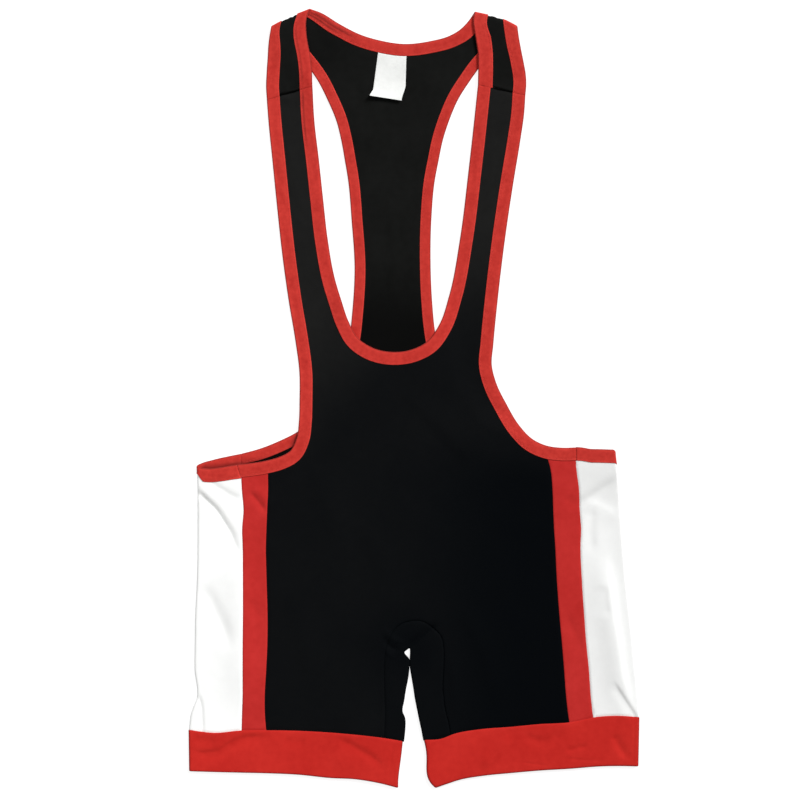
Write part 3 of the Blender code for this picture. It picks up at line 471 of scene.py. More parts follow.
def sagging(depth):
    """Height of a layer that lies lower away from the back's bindings."""
    return BOUND_HEIGHT + (PANEL_HEIGHT - BOUND_HEIGHT) * smoothstep(SAG_FROM, SAG_TO, depth)


def back_height(points):
    """Middle of the back layer."""
    return sagging(depth_in_back(points)) + crease_field(points, BACK_CREASES)


def front_height(points):
    """Middle of the front layer."""
    depth = depth_in_back(points)
    climb = smoothstep(RAMP_FROM, RAMP_TO, depth)
    calm = 0.35 + 0.65 * climb
    relief = crease_field(points, FRONT_CREASES + HEM_CREASES) + undulation(points) * calm
    return sagging(depth) + 2 * FOLD_RADIUS * climb + np.maximum(relief, -1.8 * climb)


def on_front(points, lift):
    """Places of pattern points of the front layer, lifted off the cloth's middle."""
    return np.column_stack([points, front_height(points) + lift])


def on_back(points, lift):
    """Places of pattern points of the back layer; its strap ends roll over the folds."""
    lift = np.broadcast_to(lift, len(points))
    placed = np.column_stack([points, back_height(points) - lift])
    for side, fold in FOLDS.items():
        here = points[:, 0] < -20 if side == "left" else points[:, 0] >= -20
        past = past_fold(fold, points)
        rolls = np.nonzero(here & (past > 0) & (past < ROLL))[0]
        if len(rolls):
            start = points[rolls] - np.outer(past[rolls], fold.outward)
            turn = past[rolls] / FOLD_RADIUS
            reach = FOLD_RADIUS + lift[rolls]
            placed[rolls, :2] = start + np.outer(reach * np.sin(turn), fold.outward)
            placed[rolls, 2] = back_height(start) + FOLD_RADIUS - reach * np.cos(turn)
        over = np.nonzero(here & (past >= ROLL))[0]
        if len(over):
            flat = points[over] - np.outer(2 * past[over] - ROLL, fold.outward)
            placed[over, :2] = flat
            placed[over, 2] = front_height(flat) + lift[over]
        close = np.nonzero(here & (past > -BULGE_TO))[0]
        before = np.maximum(-past[close], past[close] - ROLL)
        placed[close, :2] = bulged(side, placed[close, :2], before)
    return placed


# ---- Meshes ----
def new_object(name, data):
    made = bpy.data.objects.new(name, data)
    bpy.context.scene.collection.objects.link(made)
    return made


def new_piece(name, points, faces, uv, material, slot, node, **tones):
    """Smooth mesh from millimetre points, with the cloth's own plane as its map, in metres.

    tones are numbers for each point that its material reads.
    """
    mesh = bpy.data.meshes.new(name)
    mesh.from_pydata((np.asarray(points) * MM).tolist(), [], [tuple(face) for face in faces])
    layer = mesh.uv_layers.new(name="cloth")
    index = np.empty(len(mesh.loops), int)
    mesh.loops.foreach_get("vertex_index", index)
    layer.data.foreach_set("uv", (np.asarray(uv)[index] * MM).ravel())
    mesh.materials.append(material)
    mesh.shade_smooth()
    for tone, values in tones.items():
        mesh.attributes.new(tone, "FLOAT", "POINT").data.foreach_set("value", values)
    piece = new_object(name, mesh)
    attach(piece, "root")
    if node:
        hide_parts(node)
    return piece


def vertex_normals(points, triangles):
    sides = points[triangles]
    facing = np.cross(sides[:, 1] - sides[:, 0], sides[:, 2] - sides[:, 0])
    total = np.zeros_like(points)
    for corner in range(3):
        np.add.at(total, triangles[:, corner], facing)
    return total / np.linalg.norm(total, axis=1)[:, None]


def thickened(points, triangles, wall):
    """Closed shell round a surface: both faces meet at its open edges."""
    edges = np.vstack([triangles[:, [0, 1]], triangles[:, [1, 2]], triangles[:, [2, 0]]])
    keys, counts = np.unique(np.sort(edges, axis=1), axis=0, return_counts=True)
    rim = np.zeros(len(points), bool)
    rim[keys[counts == 1].ravel()] = True
    normals = vertex_normals(points, triangles)
    half = np.broadcast_to(wall, len(points))[:, None] / 2 * ~rim[:, None]
    under = np.where(rim, np.arange(len(points)), len(points) + np.cumsum(~rim) - 1)
    shell = np.vstack([points + normals * half, (points - normals * half)[~rim]])
    faces = np.vstack([triangles, under[triangles][:, ::-1]])
    kept = np.concatenate([np.arange(len(points)), np.nonzero(~rim)[0]])
    return shell, faces, kept


def rounded_wall(wall, edge_distance):
    """Thickness near a cloth's cut edge."""
    inward = np.clip(edge_distance / EDGE_ROUND, 0, 1)
    return wall * np.sqrt(1 - (1 - inward) ** 2)


def grid_triangles(rows, columns, around=False):
    """Triangles between a grid's points; around joins its last column to its first."""
    here = np.arange(rows * columns).reshape(rows, columns)
    right = np.roll(here, -1, axis=1)
    if not around:
        here, right = here[:, :-1], right[:, :-1]
    a, b, c, d = here[:-1], right[:-1], right[1:], here[1:]
    turned = np.zeros(a.shape, bool)
    if not around:
        turned[0, -1] = turned[-1, 0] = True       # so that no triangle has only rim points
    first = np.stack([a, b, np.where(turned, d, c)], axis=-1)
    second = np.stack([np.where(turned, b, a), c, d], axis=-1)
    return np.vstack([first.reshape(-1, 3), second.reshape(-1, 3)])


def inset_rings(outline, distances):
    """Copies of a closed outline, moved inwards."""
    ahead, behind = np.roll(outline, -1, axis=0), np.roll(outline, 1, axis=0)
    heading = ahead - behind
    heading /= np.linalg.norm(heading, axis=1)[:, None]
    x0, y0 = outline.T
    x1, y1 = ahead.T
    hand = math.copysign(1.0, np.sum(x0 * y1 - x1 * y0))
    inward = hand * np.column_stack([-heading[:, 1], heading[:, 0]])
    rings = [(outline + inward * distance, 0.9 * distance) for distance in distances]
    return [well_inside(ring, outline, clearance) for ring, clearance in rings]


def filling(outline, is_fine, spacing):
    """Staggered points inside an outline, closer together where the cloth shows."""
    low, high = outline.min(0), outline.max(0)
    rise = spacing * ROW_RISE
    row, column = np.meshgrid(np.arange(int((high[1] - low[1]) / rise) + 1),
                              np.arange(int((high[0] - low[0]) / spacing) + 1), indexing="ij")
    x = low[0] + spacing * (column + 0.5 * (row % 2))
    y = low[1] + rise * row
    points = np.column_stack([x.ravel(), y.ravel()])
    coarse = ((row % 2 == 0) & (column % 2 == 0)).ravel()
    return well_inside(points[coarse | is_fine(points)], outline, clearance=2.6)


def pattern_mesh(outline, extra):
    """Triangles between an outline's points and the points inside it."""
    points = np.vstack([outline] + extra)
    border = list(range(len(outline)))
    filled = delaunay_2d_cdt([Vector(point) for point in points], [], [border], 1, 1e-4)
    return np.array([tuple(point) for point in filled[0]]), np.array(filled[2])


def everywhere(points):
    return np.ones(len(points), bool)


def nothing(points):
    return np.zeros(len(points))


def cloth_panel(name, outline, place, sink, material, slot, spacing, is_fine=everywhere, extra=(),
                shade=nothing):
    """Panel cut to an outline in its pattern's plane; sink lowers it near its seams."""
    points = inset_rings(outline, RIM_RINGS) + [filling(outline, is_fine, spacing)]
    flat, triangles = pattern_mesh(outline, points + list(extra))
    wall = rounded_wall(CLOTH_WALL, from_edge(flat, outline))
    shell, faces, kept = thickened(place(flat, -sink(flat)), triangles, wall)
    return new_piece(name + "_cloth", shell, faces, flat[kept], material, slot, name,
                     shade=shade(flat)[kept])


# ---- Bindings ----
def roll_stations(line, folds):
    """Distances along a line at which it crosses the steps of a strap's roll."""
    arc = arc_lengths(line)
    stations = []
    for side in folds:
        past = past_fold(FOLDS[side], line)
        for level in np.linspace(0, ROLL, ROLL_STEPS + 1):
            for first in np.nonzero((past[:-1] > level) != (past[1:] > level))[0]:
                share = (level - past[first]) / (past[first + 1] - past[first])
                stations.append(arc[first] + share * (arc[first + 1] - arc[first]))
    return stations


def near_fold(side, point, close, far):
    """1 on a strap's roll and close to it, 0 far from it."""
    past = float(past_fold(FOLDS[side], point))
    return 1 - smoothstep(close, far, max(-past, past - ROLL, 0.0))


def cut_direction(point, normal, folds, ends):
    """Direction across the binding: square to it, but along a fold or a cut end nearby."""
    direction = normal
    for side in folds:
        near = near_fold(side, point, 8.0, 36.0)
        along = FOLDS[side].along * math.copysign(1.0, np.dot(FOLDS[side].along, normal))
        direction = unit(direction * (1 - near) + along * near)
    for cut, distance in ends:
        near = 1 - smoothstep(0.0, CUT_REACH, distance)
        direction = unit(direction * (1 - near) + unit(cut) * near)
    return direction


def binding_strip(rows, hand, folds, first_cut, last_cut, narrow=BINDING_WIDTH, narrow_end=False,
                  last_width=BINDING_WIDTH):
    """Sections of a binding along its free edge; hand is 1 with the cloth on the left.

    narrow is its width away from the ends, or with narrow_end away from its first end only.
    """
    fold_reach = FOLD_REACH["arm" if narrow_end else "neck"]
    line = smooth_line(rows, 1.0)
    total = arc_lengths(line)[-1]
    line = points_at(line, np.linspace(SEAM_GAP, total - SEAM_GAP, len(line)))
    total = arc_lengths(line)[-1]
    rolls = roll_stations(line, folds)
    even = np.linspace(0, total, round(total / BINDING_STATION) + 1)
    kept = [d for d in even if all(abs(d - r) > 0.3 for r in rolls)]
    along = np.array(sorted(kept + rolls + [0.5, total - 0.5]))
    points = points_at(line, along)
    ahead = points_at(line, np.minimum(along + 0.5, total))
    behind = points_at(line, np.maximum(along - 0.5, 0))
    reaches = []
    for index, point in enumerate(points):
        heading = unit(ahead[index] - behind[index])
        normal = hand * np.array((-heading[1], heading[0]))
        ends = ((first_cut, along[index]), (last_cut, total - along[index]))
        direction = cut_direction(point, normal, folds, ends)
        reach = 1 / np.dot(direction, normal)
        for side in folds:
            near = near_fold(side, point, 4.0, 26.0)
            own = abs(point[0] - FOLDS[side].base[0]) < FOLD_OWN
            reach += (fold_reach[side] - reach) * near * own
        reaches.append(direction * reach)
    from_end = along if narrow_end else np.minimum(along, total - along)
    narrowed = smoothstep(NARROW_FROM, NARROW_TO, from_end)
    width = BINDING_WIDTH + (narrow - BINDING_WIDTH) * narrowed
    width += (last_width - BINDING_WIDTH) * (1 - smoothstep(WIDE_FROM, WIDE_TO, total - along))
    return Strip(points, np.array(reaches), width, along)


def tuck_line(strip):
    """Where the bound panel ends inside the binding."""
    return strip.outer + strip.reach * (strip.width - TUCK)[:, None]


def inner_line(strip):
    """Edge of a binding on the cloth."""
    return strip.outer + strip.reach * strip.width[:, None]


# Section of a folded binding: millimetres from its fold, share of its width, lift. H is half its
# thickness, IN half the space between its leaves.
H, IN = BINDING_HALF, BINDING_HALF - BINDING_LEAF
SECTION = np.array((
    (-0.05, 1, IN + 0.3), (-0.25, 1, H - 0.1), (-1.0, 1, H), (-1.9, 1, H - 0.25), (-2.8, 1, H),
    (0, 0.66, H), (0, 0.54, H), (0, 0.42, H), (0, 0.3, H), (2.2, 0, H), (1.3, 0, H - 0.03),
    (0.6, 0, H - 0.17), (0.2, 0, H - 0.45), (0, 0, H - 0.85), (0, 0, 0.85 - H), (0.2, 0, 0.45 - H),
    (0.6, 0, 0.17 - H), (1.3, 0, 0.03 - H), (2.2, 0, -H), (0, 0.3, -H), (0, 0.42, -H),
    (0, 0.54, -H), (0, 0.66, -H), (-2.8, 1, -H), (-1.9, 1, 0.25 - H), (-1.0, 1, -H),
    (-0.25, 1, 0.1 - H), (-0.05, 1, -IN - 0.3), (-0.05, 1, -IN), (0, 0.5, -IN), (1.0, 0, 0.1 - IN),
    (0.75, 0, 0), (1.0, 0, IN - 0.1), (0, 0.5, IN), (-0.05, 1, IN),
))


def binding_section(along, width, seed):
    """Millimetres across and lift of every section point, dented a little along the middle."""
    across = SECTION[:, 0] + SECTION[:, 1] * width[:, None]
    lift = np.repeat(SECTION[None, :, 2], len(along), axis=0)
    share = across / width[:, None]
    s = along[:, None] * np.ones_like(across)
    streak = value_noise((s + 2.2 * across) / 17, across / 2.4 + 9, seed)
    fine = value_noise((s - 1.1 * across) / 6.5, across / 2.0, seed + 1)
    where = smoothstep(0.3, 0.75, value_noise(s / 42, np.zeros_like(s), seed + 2))
    face = (np.abs(lift) > IN + 0.2) * np.sin(np.pi * np.clip(share, 0, 1)) ** 0.8
    pucker = smoothstep(0.45, 0.9, streak) * (0.35 + 0.65 * where)
    dent = face * (0.04 + 0.24 * pucker + 0.07 * fine)
    edge = np.minimum(along - along[0], along[-1] - along)[:, None]
    lift = lift * (1 - 0.16 * (1 - smoothstep(0, 1.2, edge)))
    return across, lift - np.sign(lift) * dent


def section_piece(name, placed, along, across, width, shade=0.0):
    """Closed mesh through the placed sections of a binding, shaded along its folded edge."""
    rows, columns = placed.shape[:2]
    tube = grid_triangles(rows, columns, around=True)
    points = placed.reshape(-1, 3)
    faces = [tuple(face) for face in tube]
    faces.append(tuple(range(columns))[::-1])
    faces.append(tuple(range((rows - 1) * columns, rows * columns)))
    uv = np.column_stack([across.ravel(), np.repeat(along, columns)])
    rim = 1 - np.sin(np.pi * np.clip(across / width[:, None], 0, 1)) ** 0.6
    fold = 0.85 * (1 - smoothstep(0.15, 1.3, across)) * (np.abs(SECTION[:, 2]) > IN)
    piece = new_piece(name + "_cloth", points, faces, uv, RED_ELASTIC, "red_elastic", name,
                      rim=rim.ravel(), shade=np.maximum(fold, shade).ravel())
    turn_outward(piece)
    return piece


def turn_outward(piece):
    """Turn the faces over if the closed mesh was built inside out."""
    mesh = piece.data
    mesh.calc_loop_triangles()
    count = len(mesh.loop_triangles)
    corners = np.empty(count * 3, int)
    mesh.loop_triangles.foreach_get("vertices", corners)
    points = np.empty(len(mesh.vertices) * 3)
    mesh.vertices.foreach_get("co", points)
    a, b, c = (points.reshape(-1, 3)[corners.reshape(-1, 3)[:, k]] for k in range(3))
    if np.einsum("ij,ij->i", a, np.cross(b, c)).sum() < 0:
        mesh.flip_normals()


# Painted shade of lengthwise wrinkles: middle and half width as shares of the binding's width,
# depth, and where they start and end along it
WRINKLE_SHADES = {
    "neck_binding_back": ((0.38, 0.10, 0.8, 84, 128), (0.66, 0.09, 0.75, 80, 116),
                          (0.80, 0.07, 0.4, 10, 62)),
    "neck_binding_front": ((0.80, 0.08, 0.6, 4, 52),),
}
OPENING_TONE = 0.85             # shade of the bindings inside the left arm opening


def flat_binding(name, strip, place, seed, faces=(1,)):
    """Binding on a flat or rolled layer, with its row of stitches on the faces that show."""
    across, lift = binding_section(strip.along, strip.width, seed)
    spots = strip.outer[:, None, :] + strip.reach[:, None, :] * across[..., None]
    placed = place(spots.reshape(-1, 2), lift.ravel()).reshape(*across.shape, 3)
    shade = np.zeros(across.shape)
    # painted shade along the wrinkles, and inside the left arm opening
    for middle, half, depth, first, last in WRINKLE_SHADES.get(name, ()):
        window = smoothstep(first - 5, first + 5, strip.along) \
            * (1 - smoothstep(last - 10, last + 10, strip.along))
        streak = np.exp(-((across / strip.width[:, None] - middle) / half) ** 2)
        shade = np.maximum(shade, depth * window[:, None] * streak)
    if name == "arm_binding_back_left":
        inner = opening_shade(spots.reshape(-1, 2)).reshape(across.shape)
        shade = np.maximum(shade, OPENING_TONE * inner)
    piece = section_piece(name, placed, strip.along, across, strip.width, shade)
    length = strip.along[-1]
    mean = float(np.mean(strip.width))

    def seat(s, sign):
        spot, reach = (rows_at(s, strip.along, rows) for rows in (strip.outer, strip.reach))
        width = np.interp(s, strip.along, strip.width)
        return place(spot + reach * (width - STITCH_INSET)[:, None], sign * (H - STITCH_SUNK))

    stitch_row(name, [lambda s, sign=sign: seat(s, sign) for sign in faces], length)


def stitch_row(name, seats, length):
    """Rows of short threads, each sunk a little at both ends."""
    starts = np.arange(1.0, length - STITCH - 0.5, STITCH_PITCH)
    sides = THREAD_SIDES
    points, faces = [], []
    for seat in seats:
        centres = np.stack([seat(starts + STITCH * share) for share, _, _ in THREAD_RINGS], axis=1)
        for centre in centres:
            ahead = unit(centre[-1] - centre[0])
            side = unit(np.cross(ahead, (0.0, 0.0, 1.0)) + 1e-9)
            up = np.cross(side, ahead)
            first = len(points)
            for spot, (_, reach, lift) in zip(centre, THREAD_RINGS):
                for corner in range(sides):
                    turn = 2 * math.pi * corner / sides
                    off = side * math.cos(turn) + up * math.sin(turn)
                    points.append(spot + up * lift + off * THREAD_RADIUS * reach)
            last = len(points) - sides
            for ring in range(first, last, sides):
                for corner in range(sides):
                    here, across = ring + corner, ring + (corner + 1) % sides
                    faces.append((here, across, across + sides, here + sides))
            faces.append(tuple(range(first, first + sides))[::-1])
            faces.append(tuple(range(last, last + sides)))
    points = np.array(points)
    new_piece(name + "_stitches", points, faces, points[:, :2], RED_THREAD, "red_elastic", None)


# ---- Edges of the two layers ----
def shoulder_cut(side):
    """Direction of a shoulder seam, from its arm side to its neck side."""
    arm, neck = {"left": (TOP_ARM_LEFT, TOP_NECK_LEFT),
                 "right": (TOP_ARM_RIGHT, TOP_NECK_RIGHT)}[side]
    return unit(np.subtract(neck[-1], arm[-1]))


def back_strips():
    """Bindings of the back layer, in its pattern's plane."""
    left, right = FOLDS["left"], FOLDS["right"]
    cut_left = unfolded_direction(left, shoulder_cut("left"))
    cut_right = unfolded_direction(right, shoulder_cut("right"))
    arm_left = list(unfolded(left, TOP_ARM_LEFT[::-1])) + list(BACK_ARM_LEFT)
    arm_right = list(unfolded(right, TOP_ARM_RIGHT[::-1])) + list(BACK_ARM_RIGHT)
    neck = list(unfolded(left, TOP_NECK_LEFT[::-1])) + list(BACK_NECK)
    neck += list(unfolded(right, TOP_NECK_RIGHT))
    down = (0.0, -1.0)
    return {
        "arm_left": binding_strip(arm_left, 1, ["left"], cut_left, down, NARROW_ARM, True),
        "neck": binding_strip(neck, -1, ["left", "right"], -cut_left, -cut_right, NARROW_NECK,
                              last_width=WIDE_NECK),
        "arm_right": binding_strip(arm_right, -1, ["right"], cut_right, down, NARROW_ARM, True),
    }


def front_strips():
    """Bindings of the front layer."""
    cut_left, cut_right = shoulder_cut("left"), shoulder_cut("right")
    return {
        "arm_left": binding_strip(FRONT_ARM_LEFT, 1, (), cut_left, FRONT_SEAM_CUT["left"]),
        "neck": binding_strip(FRONT_NECK, -1, (), -cut_left, -cut_right),
        "arm_right": binding_strip(FRONT_ARM_RIGHT, -1, (), cut_right, FRONT_SEAM_CUT["right"]),
    }


def before_seam(points, x_at):
    """The part of an edge on the body's side of a seam, ended on the seam itself."""
    gap = points[:, 0] - x_at(points[:, 1])
    over = np.nonzero(gap * np.sign(gap[0]) <= 0)[0]
    if not len(over):
        return points
    last = over[0]
    share = gap[last - 1] / (gap[last - 1] - gap[last])
    return np.vstack([points[:last], points[last - 1] + (points[last] - points[last - 1]) * share])


def allowance(from_end):
    """How far a panel runs under its neighbour: not at all at a seam's ends."""
    return -SEAM_GAP + (ALLOWANCE + SEAM_GAP) * smoothstep(ALLOWANCE_FROM, ALLOWANCE_TO, from_end)


def hem_line(side, share):
    """Line across a hem band, share of the way from its upper seam to its lower edge."""
    dense = smooth_line(HEMS[side], 2.0)
    line = dense[:, :2] + (dense[:, 2:] - dense[:, :2]) * share
    inner = line[-1 if side == "left" else 0]
    away = np.linalg.norm(line - inner, axis=1)
    near = np.clip(1 - away / INNER_BOW_REACH, 0, 1) ** 2
    line[:, 0] += INNER_BOW[side] * 9.5 * share ** 3 * (1 - share) * near
    return line


HEM_TOPS = {side: hem_line(side, 0.0) for side in HEMS}


def below_hem(points):
    """How far points lie below the seam of the nearer hem band."""
    x, y = points.T
    return np.where(x < 0, height_on(HEM_TOPS["left"], x), height_on(HEM_TOPS["right"], x)) - y


def hem_sink(below):
    """How deep cloth lies some millimetres below a hem band's seam."""
    return HEM_DROP * smoothstep(-1.6, 0.3, below)


def gusset_rows():
    """Rows of the gusset: way along it, x, y of the inner leg's fold and x, y of its seam."""
    rows = smooth_line(GUSSET, 3.0)
    for row, side in ((0, "left"), (-1, "right")):
        rows[row][1] = height_on(HEM_TOPS[side], rows[row][0]) + SEAM_GAP
        rows[row][3] = height_on(HEM_TOPS[side], rows[row][2]) + SEAM_GAP
    down = np.array((0, -ALLOWANCE - 1, 0, -ALLOWANCE - 1))
    rows = np.vstack([rows[0] + down, rows, rows[-1] + down])
    way = arc_lengths((rows[:, :2] + rows[:, 2:]) / 2)
    return np.column_stack([way - way[1], rows])


GUSSET_ROWS = gusset_rows()
GUSSET_END = GUSSET_ROWS[-2, 0]
GUSSET_TUCK = 0.8               # how far the gusset's fold runs into a hem band
ARCH = GUSSET_ROWS[:, 3:]
CROTCH_FOLD = smooth_line(((21, -228), (15, -232), (8, -239), (-3, -249)), 2.0)
LEFT_OPENING = smooth_line(
    [p for p in FRONT_ARM_LEFT if p[1] < -30] + [(x, y) for x, _, y in SIDE_TOPS["left"][1:5]], 2.0)


def beside(points, line, reach):
    """1 on a line, fading to 0 beside it."""
    return np.exp(-(nearest_on(points, line)[0] / reach) ** 2)


def close_to(points, middle, reach):
    """1 at a place, fading to 0 round it."""
    return np.exp(-((points - middle) ** 2).sum(axis=1) / reach ** 2)


def crotch_shade(points):
    """Shade along the gusset's seam, deepest at its top and right, and in the fold beside it."""
    side = 0.3 + 0.7 * smoothstep(-27, -14, points[:, 0])
    distance, share, _ = nearest_on(points, CROTCH_FOLD)
    fold = np.exp(-(distance / (5.2 - 2.6 * share)) ** 2)
    return np.maximum(side * beside(points, ARCH, 2.5), fold)


def opening_shade(points):
    """Shade of the inside of the left arm opening, just behind the front layer's edge."""
    return beside(points, LEFT_OPENING, 3.1)


def run_down(x_at, top, low):
    """Points of a lengthwise edge from one y to another."""
    y = run(top, low)
    return np.column_stack([x_at(y), y])


def lateral_edge(column, hand, top_y, low_y, seam_top=None):
    """Lengthwise edge of a panel; hand is 1 where the garment's outside is to the right.

    The edge ends at its seam, or with seam_top runs on under the neighbour below that height.
    """
    def x_at(y):
        if seam_top is None:
            return seam_x(column, y) - hand * SEAM_GAP
        from_end = np.minimum(seam_top - y, y - low_y - ALLOWANCE)
        return seam_x(column, y) + hand * allowance(from_end)
    return run_down(x_at, top_y, low_y)


def seam_end_x(column, inward):
    """x at a lengthwise seam's lower end, a gap inwards of it."""
    return seam_x(column, SEAM_ENDS[column]) + inward * SEAM_GAP


def hem_corner(side, x):
    return height_on(HEM_TOPS[side], x) - ALLOWANCE


def along_hem(side, x, under=ALLOWANCE):
    """Points at x under a hem band, this far below its seam."""
    return np.column_stack([x, height_on(HEM_TOPS[side], x) - under])


def joined(parts):
    """One closed outline from its parts in order, without doubled points."""
    points = [parts[0]]
    for part in parts[1:]:
        same = np.linalg.norm(part[0] - points[-1][-1]) < JOIN_REACH
        points.append(part[1:] if same else part)
    outline = np.vstack(points)
    same = np.linalg.norm(outline[0] - outline[-1]) < JOIN_REACH
    return outline[:-1] if same else outline


def square_to(span):
    """Unit direction square to a shoulder seam, towards the top of the shoulder."""
    outward = np.array((-span[1], span[0])) / np.linalg.norm(span)
    return outward * np.sign(outward[1])


def shoulder_run(first, second):
    """Points along a shoulder seam between two bindings, and past it where the cloth runs on."""
    span = second - first
    length = np.linalg.norm(span)
    along = np.linspace(0, length, round(length / 1.5) + 1)
    from_end = np.minimum(along, length - along) - TUCK
    reach = ALLOWANCE * smoothstep(-2.0, 2.5, from_end) - SEAM_GAP
    return first + np.outer(along / length, span) + np.outer(reach, square_to(span))


# ---- Panels of the body ----
def front_outline(strips):
    neck, arm_left, arm_right = (evenly(tuck_line(strips[key]))
                                 for key in ("neck", "arm_left", "arm_right"))
    right = before_seam(arm_right, lambda y: seam_x("black_right", y) - SEAM_GAP)
    left = before_seam(arm_left, lambda y: seam_x("black_left", y) + SEAM_GAP)
    right_x, left_x = seam_end_x("black_right", -1), seam_end_x("black_left", 1)
    low_right, low_left = hem_corner("right", right_x), hem_corner("left", left_x)
    top_right, top_left = right[-1][1], left[-1][1]
    return joined([
        neck,
        shoulder_run(neck[-1], right[0]),
        right,
        lateral_edge("black_right", 1, top_right, low_right, top_right - TUCK),
        along_hem("right", run(right_x, ARCH[-1][0])),
        evenly((ARCH[::-1] + (0, SEAM_GAP))[1:-1]),
        along_hem("left", run(ARCH[0][0], left_x)),
        lateral_edge("black_left", -1, top_left, low_left, top_left - TUCK)[::-1],
        left[::-1],
        shoulder_run(left[0], neck[0]),
    ])


def fade_at_ends(below_top, points):
    """1 along a lengthwise seam, 0 in the binding above it and in the hem band below it."""
    return smoothstep(0.3, 4.5, below_top) * (1 - smoothstep(-5, -0.5, below_hem(points)))


def seam_fade(points, strips):
    """fade_at_ends for the seams that end in an arm binding."""
    x, y = points.T
    left, right = inner_line(strips["arm_left"]), inner_line(strips["arm_right"])
    low_left, low_right = left[left[:, 1] < 0], right[right[:, 1] < 0]
    top = np.where(x < 0, height_on(low_left, x), height_on(low_right, x))
    return fade_at_ends(top - y, points)


def under_seam(past):
    """How deep a panel lies some millimetres past the edge of the neighbour that covers it."""
    return SEAM_DROP * smoothstep(-1.5, 0.3, past)


def over_seam(distance):
    """How much the upper piece dips some millimetres before its edge."""
    return SEAM_SINK * (1 - smoothstep(0, 1.3, distance))


def shoulder_sink(points, strips):
    """How deep the front panel lies past its shoulder seams, under the back panel's ends."""
    total = np.zeros(len(points))
    for side, end in (("left", 0), ("right", -1)):
        arm, neck = inner_line(strips["arm_" + side])[0], inner_line(strips["neck"])[end]
        span = neck - arm
        length = np.linalg.norm(span)
        past = (points - arm) @ square_to(span)
        along = (points - arm) @ span / length
        here = smoothstep(-2.0, 0.5, np.minimum(along, length - along)) * (past > -8)
        total += SHOULDER_DROP * smoothstep(-2.0, 0.3, past) * here
    return total


def front_sink(points, strips):
    """How deep the front panel lies under its neighbours at its seams."""
    x, y = points.T
    past = np.maximum(seam_x("black_left", y) - x, x - seam_x("black_right", y))
    sink = under_seam(past) * seam_fade(points, strips) * (y < -40)
    sink = sink + hem_sink(below_hem(points)) + shoulder_sink(points, strips)
    return sink + over_seam(nearest_on(points, ARCH)[0])


BODY_TONE = 0.74                # shade of the black cloth below the straps


def front_shade(points):
    """Straps lighter than the body, and the right side of the body the darkest."""
    x, y = points.T
    from_left = x + 110
    first = 100 + 90 * np.clip(from_left / 180, 0, 1)
    last = 130 * np.clip(from_left / 96, 0, 1) - 90
    body = BODY_TONE * smoothstep(first, last, y)
    darker = smoothstep(-60, 110, x) * smoothstep(-20, -90, y)
    crotch = 0.8 * close_to(points, (-5, -250), 45)
    body = body + (1 - BODY_TONE) * np.maximum(darker, crotch)
    return np.maximum(body, crotch_shade(points))


def front_panel(strips):
    outline = front_outline(strips)
    return cloth_panel("front_panel", outline, on_front, lambda p: front_sink(p, strips),
                       BLACK_KNIT, "black_knit", PANEL_SPACING, shade=front_shade)


def back_outline(strips):
    left, neck, right = (tuck_line(strips[key]) for key in ("arm_left", "neck", "arm_right"))
    right_x, left_x = seam_end_x("white_right", -1), seam_end_x("white_left", 1)
    low_right = hem_corner("right", right_x) + ALLOWANCE + SEAM_GAP
    low_left = hem_corner("left", left_x) + ALLOWANCE + SEAM_GAP
    arch = evenly(ARCH[1:-1])[::-1] + (0, SEAM_GAP)
    return joined([
        left[::-1],
        neck,
        right,
        lateral_edge("white_right", 1, right[-1][1], low_right),
        along_hem("right", run(right_x, arch[0][0], BACK_EDGE_STEP), -SEAM_GAP),
        arch,
        along_hem("left", run(arch[-1][0], left_x, BACK_EDGE_STEP), -SEAM_GAP),
        lateral_edge("white_left", -1, left[-1][1], low_left)[::-1],
    ])


def back_shade(points):
    """Darker inside the left arm opening, down towards the front's neck, and at the left strap."""
    opening = smoothstep(9.0, 4.0, nearest_on(points, LEFT_OPENING)[0])
    low = 0.9 * smoothstep(150, 65, points[:, 1])
    return np.max([opening, low, 0.4 * close_to(points, (-92, 350), 28)], axis=0)


def back_panel(strips):
    outline = back_outline(strips)

    def is_fine(points):
        rolled = np.zeros(len(points), bool)
        for fold in FOLDS.values():
            rolled |= past_fold(fold, points) > -30
        return (points[:, 1] > 30) | rolled

    rows = []
    for side, centre in (("left", (-125.0, 0)), ("right", (82.0, 0))):
        fold = FOLDS[side]
        across = (centre - fold.base) @ fold.along
        for level in np.linspace(-0.6, ROLL + 0.6, ROLL_STEPS + 3):
            for step in np.arange(-40, 41, 1.6):
                rows.append(fold.base + fold.along * (across + step) + fold.outward * level)
    rows = well_inside(np.array(rows), outline, clearance=1.8)
    return cloth_panel("back_panel", outline, on_back, nothing, BLACK_INSIDE, "black_knit",
                       BACK_SPACING, is_fine, [rows], back_shade)


# ---- Side panels ----
QUARTER = math.pi / 2 * FOLD_RADIUS
FOLD_WAYS = np.linspace(-QUARTER * 1.1, QUARTER * 1.1, FOLD_COLUMNS)
FLAT_WAY = QUARTER + 0.9        # past this way round a fold the cloth is flat
SIDE_INSET = FOLD_RADIUS + CLOTH_WALL / 2
SIDE_EDGES = {side: smooth_line(rows, 1.0) for side, rows in SIDE_TOPS.items()}
LEFT_FOLD_SHADOW = 0.12           # painted shadow along the left side fold
RIGHT_PAINTED_SHADE = 0.14               # painted shade over the right side panel, weaker along its ridge
# Lines where the right side panel's painted shade is deeper (a trough) and lighter (a ridge)
RIGHT_SHADED_TROUGH = smooth_line(((160, -108), (171, -101), (181, -95), (190, -88), (204, -79)), 2.0)
RIGHT_LIT_RIDGE = smooth_line(
    ((178, -106), (187, -130), (195, -170), (203, -210), (213, -256), (226, -310)), 2.0)


def side_sign(side):
    return 1 if side == "left" else -1


def past_bend(way):
    """0 round a fold and on the back layer, 1 a little way on to the front layer."""
    return smoothstep(3, 9, way - QUARTER)


def fold_grid(first, second):
    """Points for every pair of two rows of numbers."""
    return np.stack(np.meshgrid(first, second), axis=-1).reshape(-1, 2)


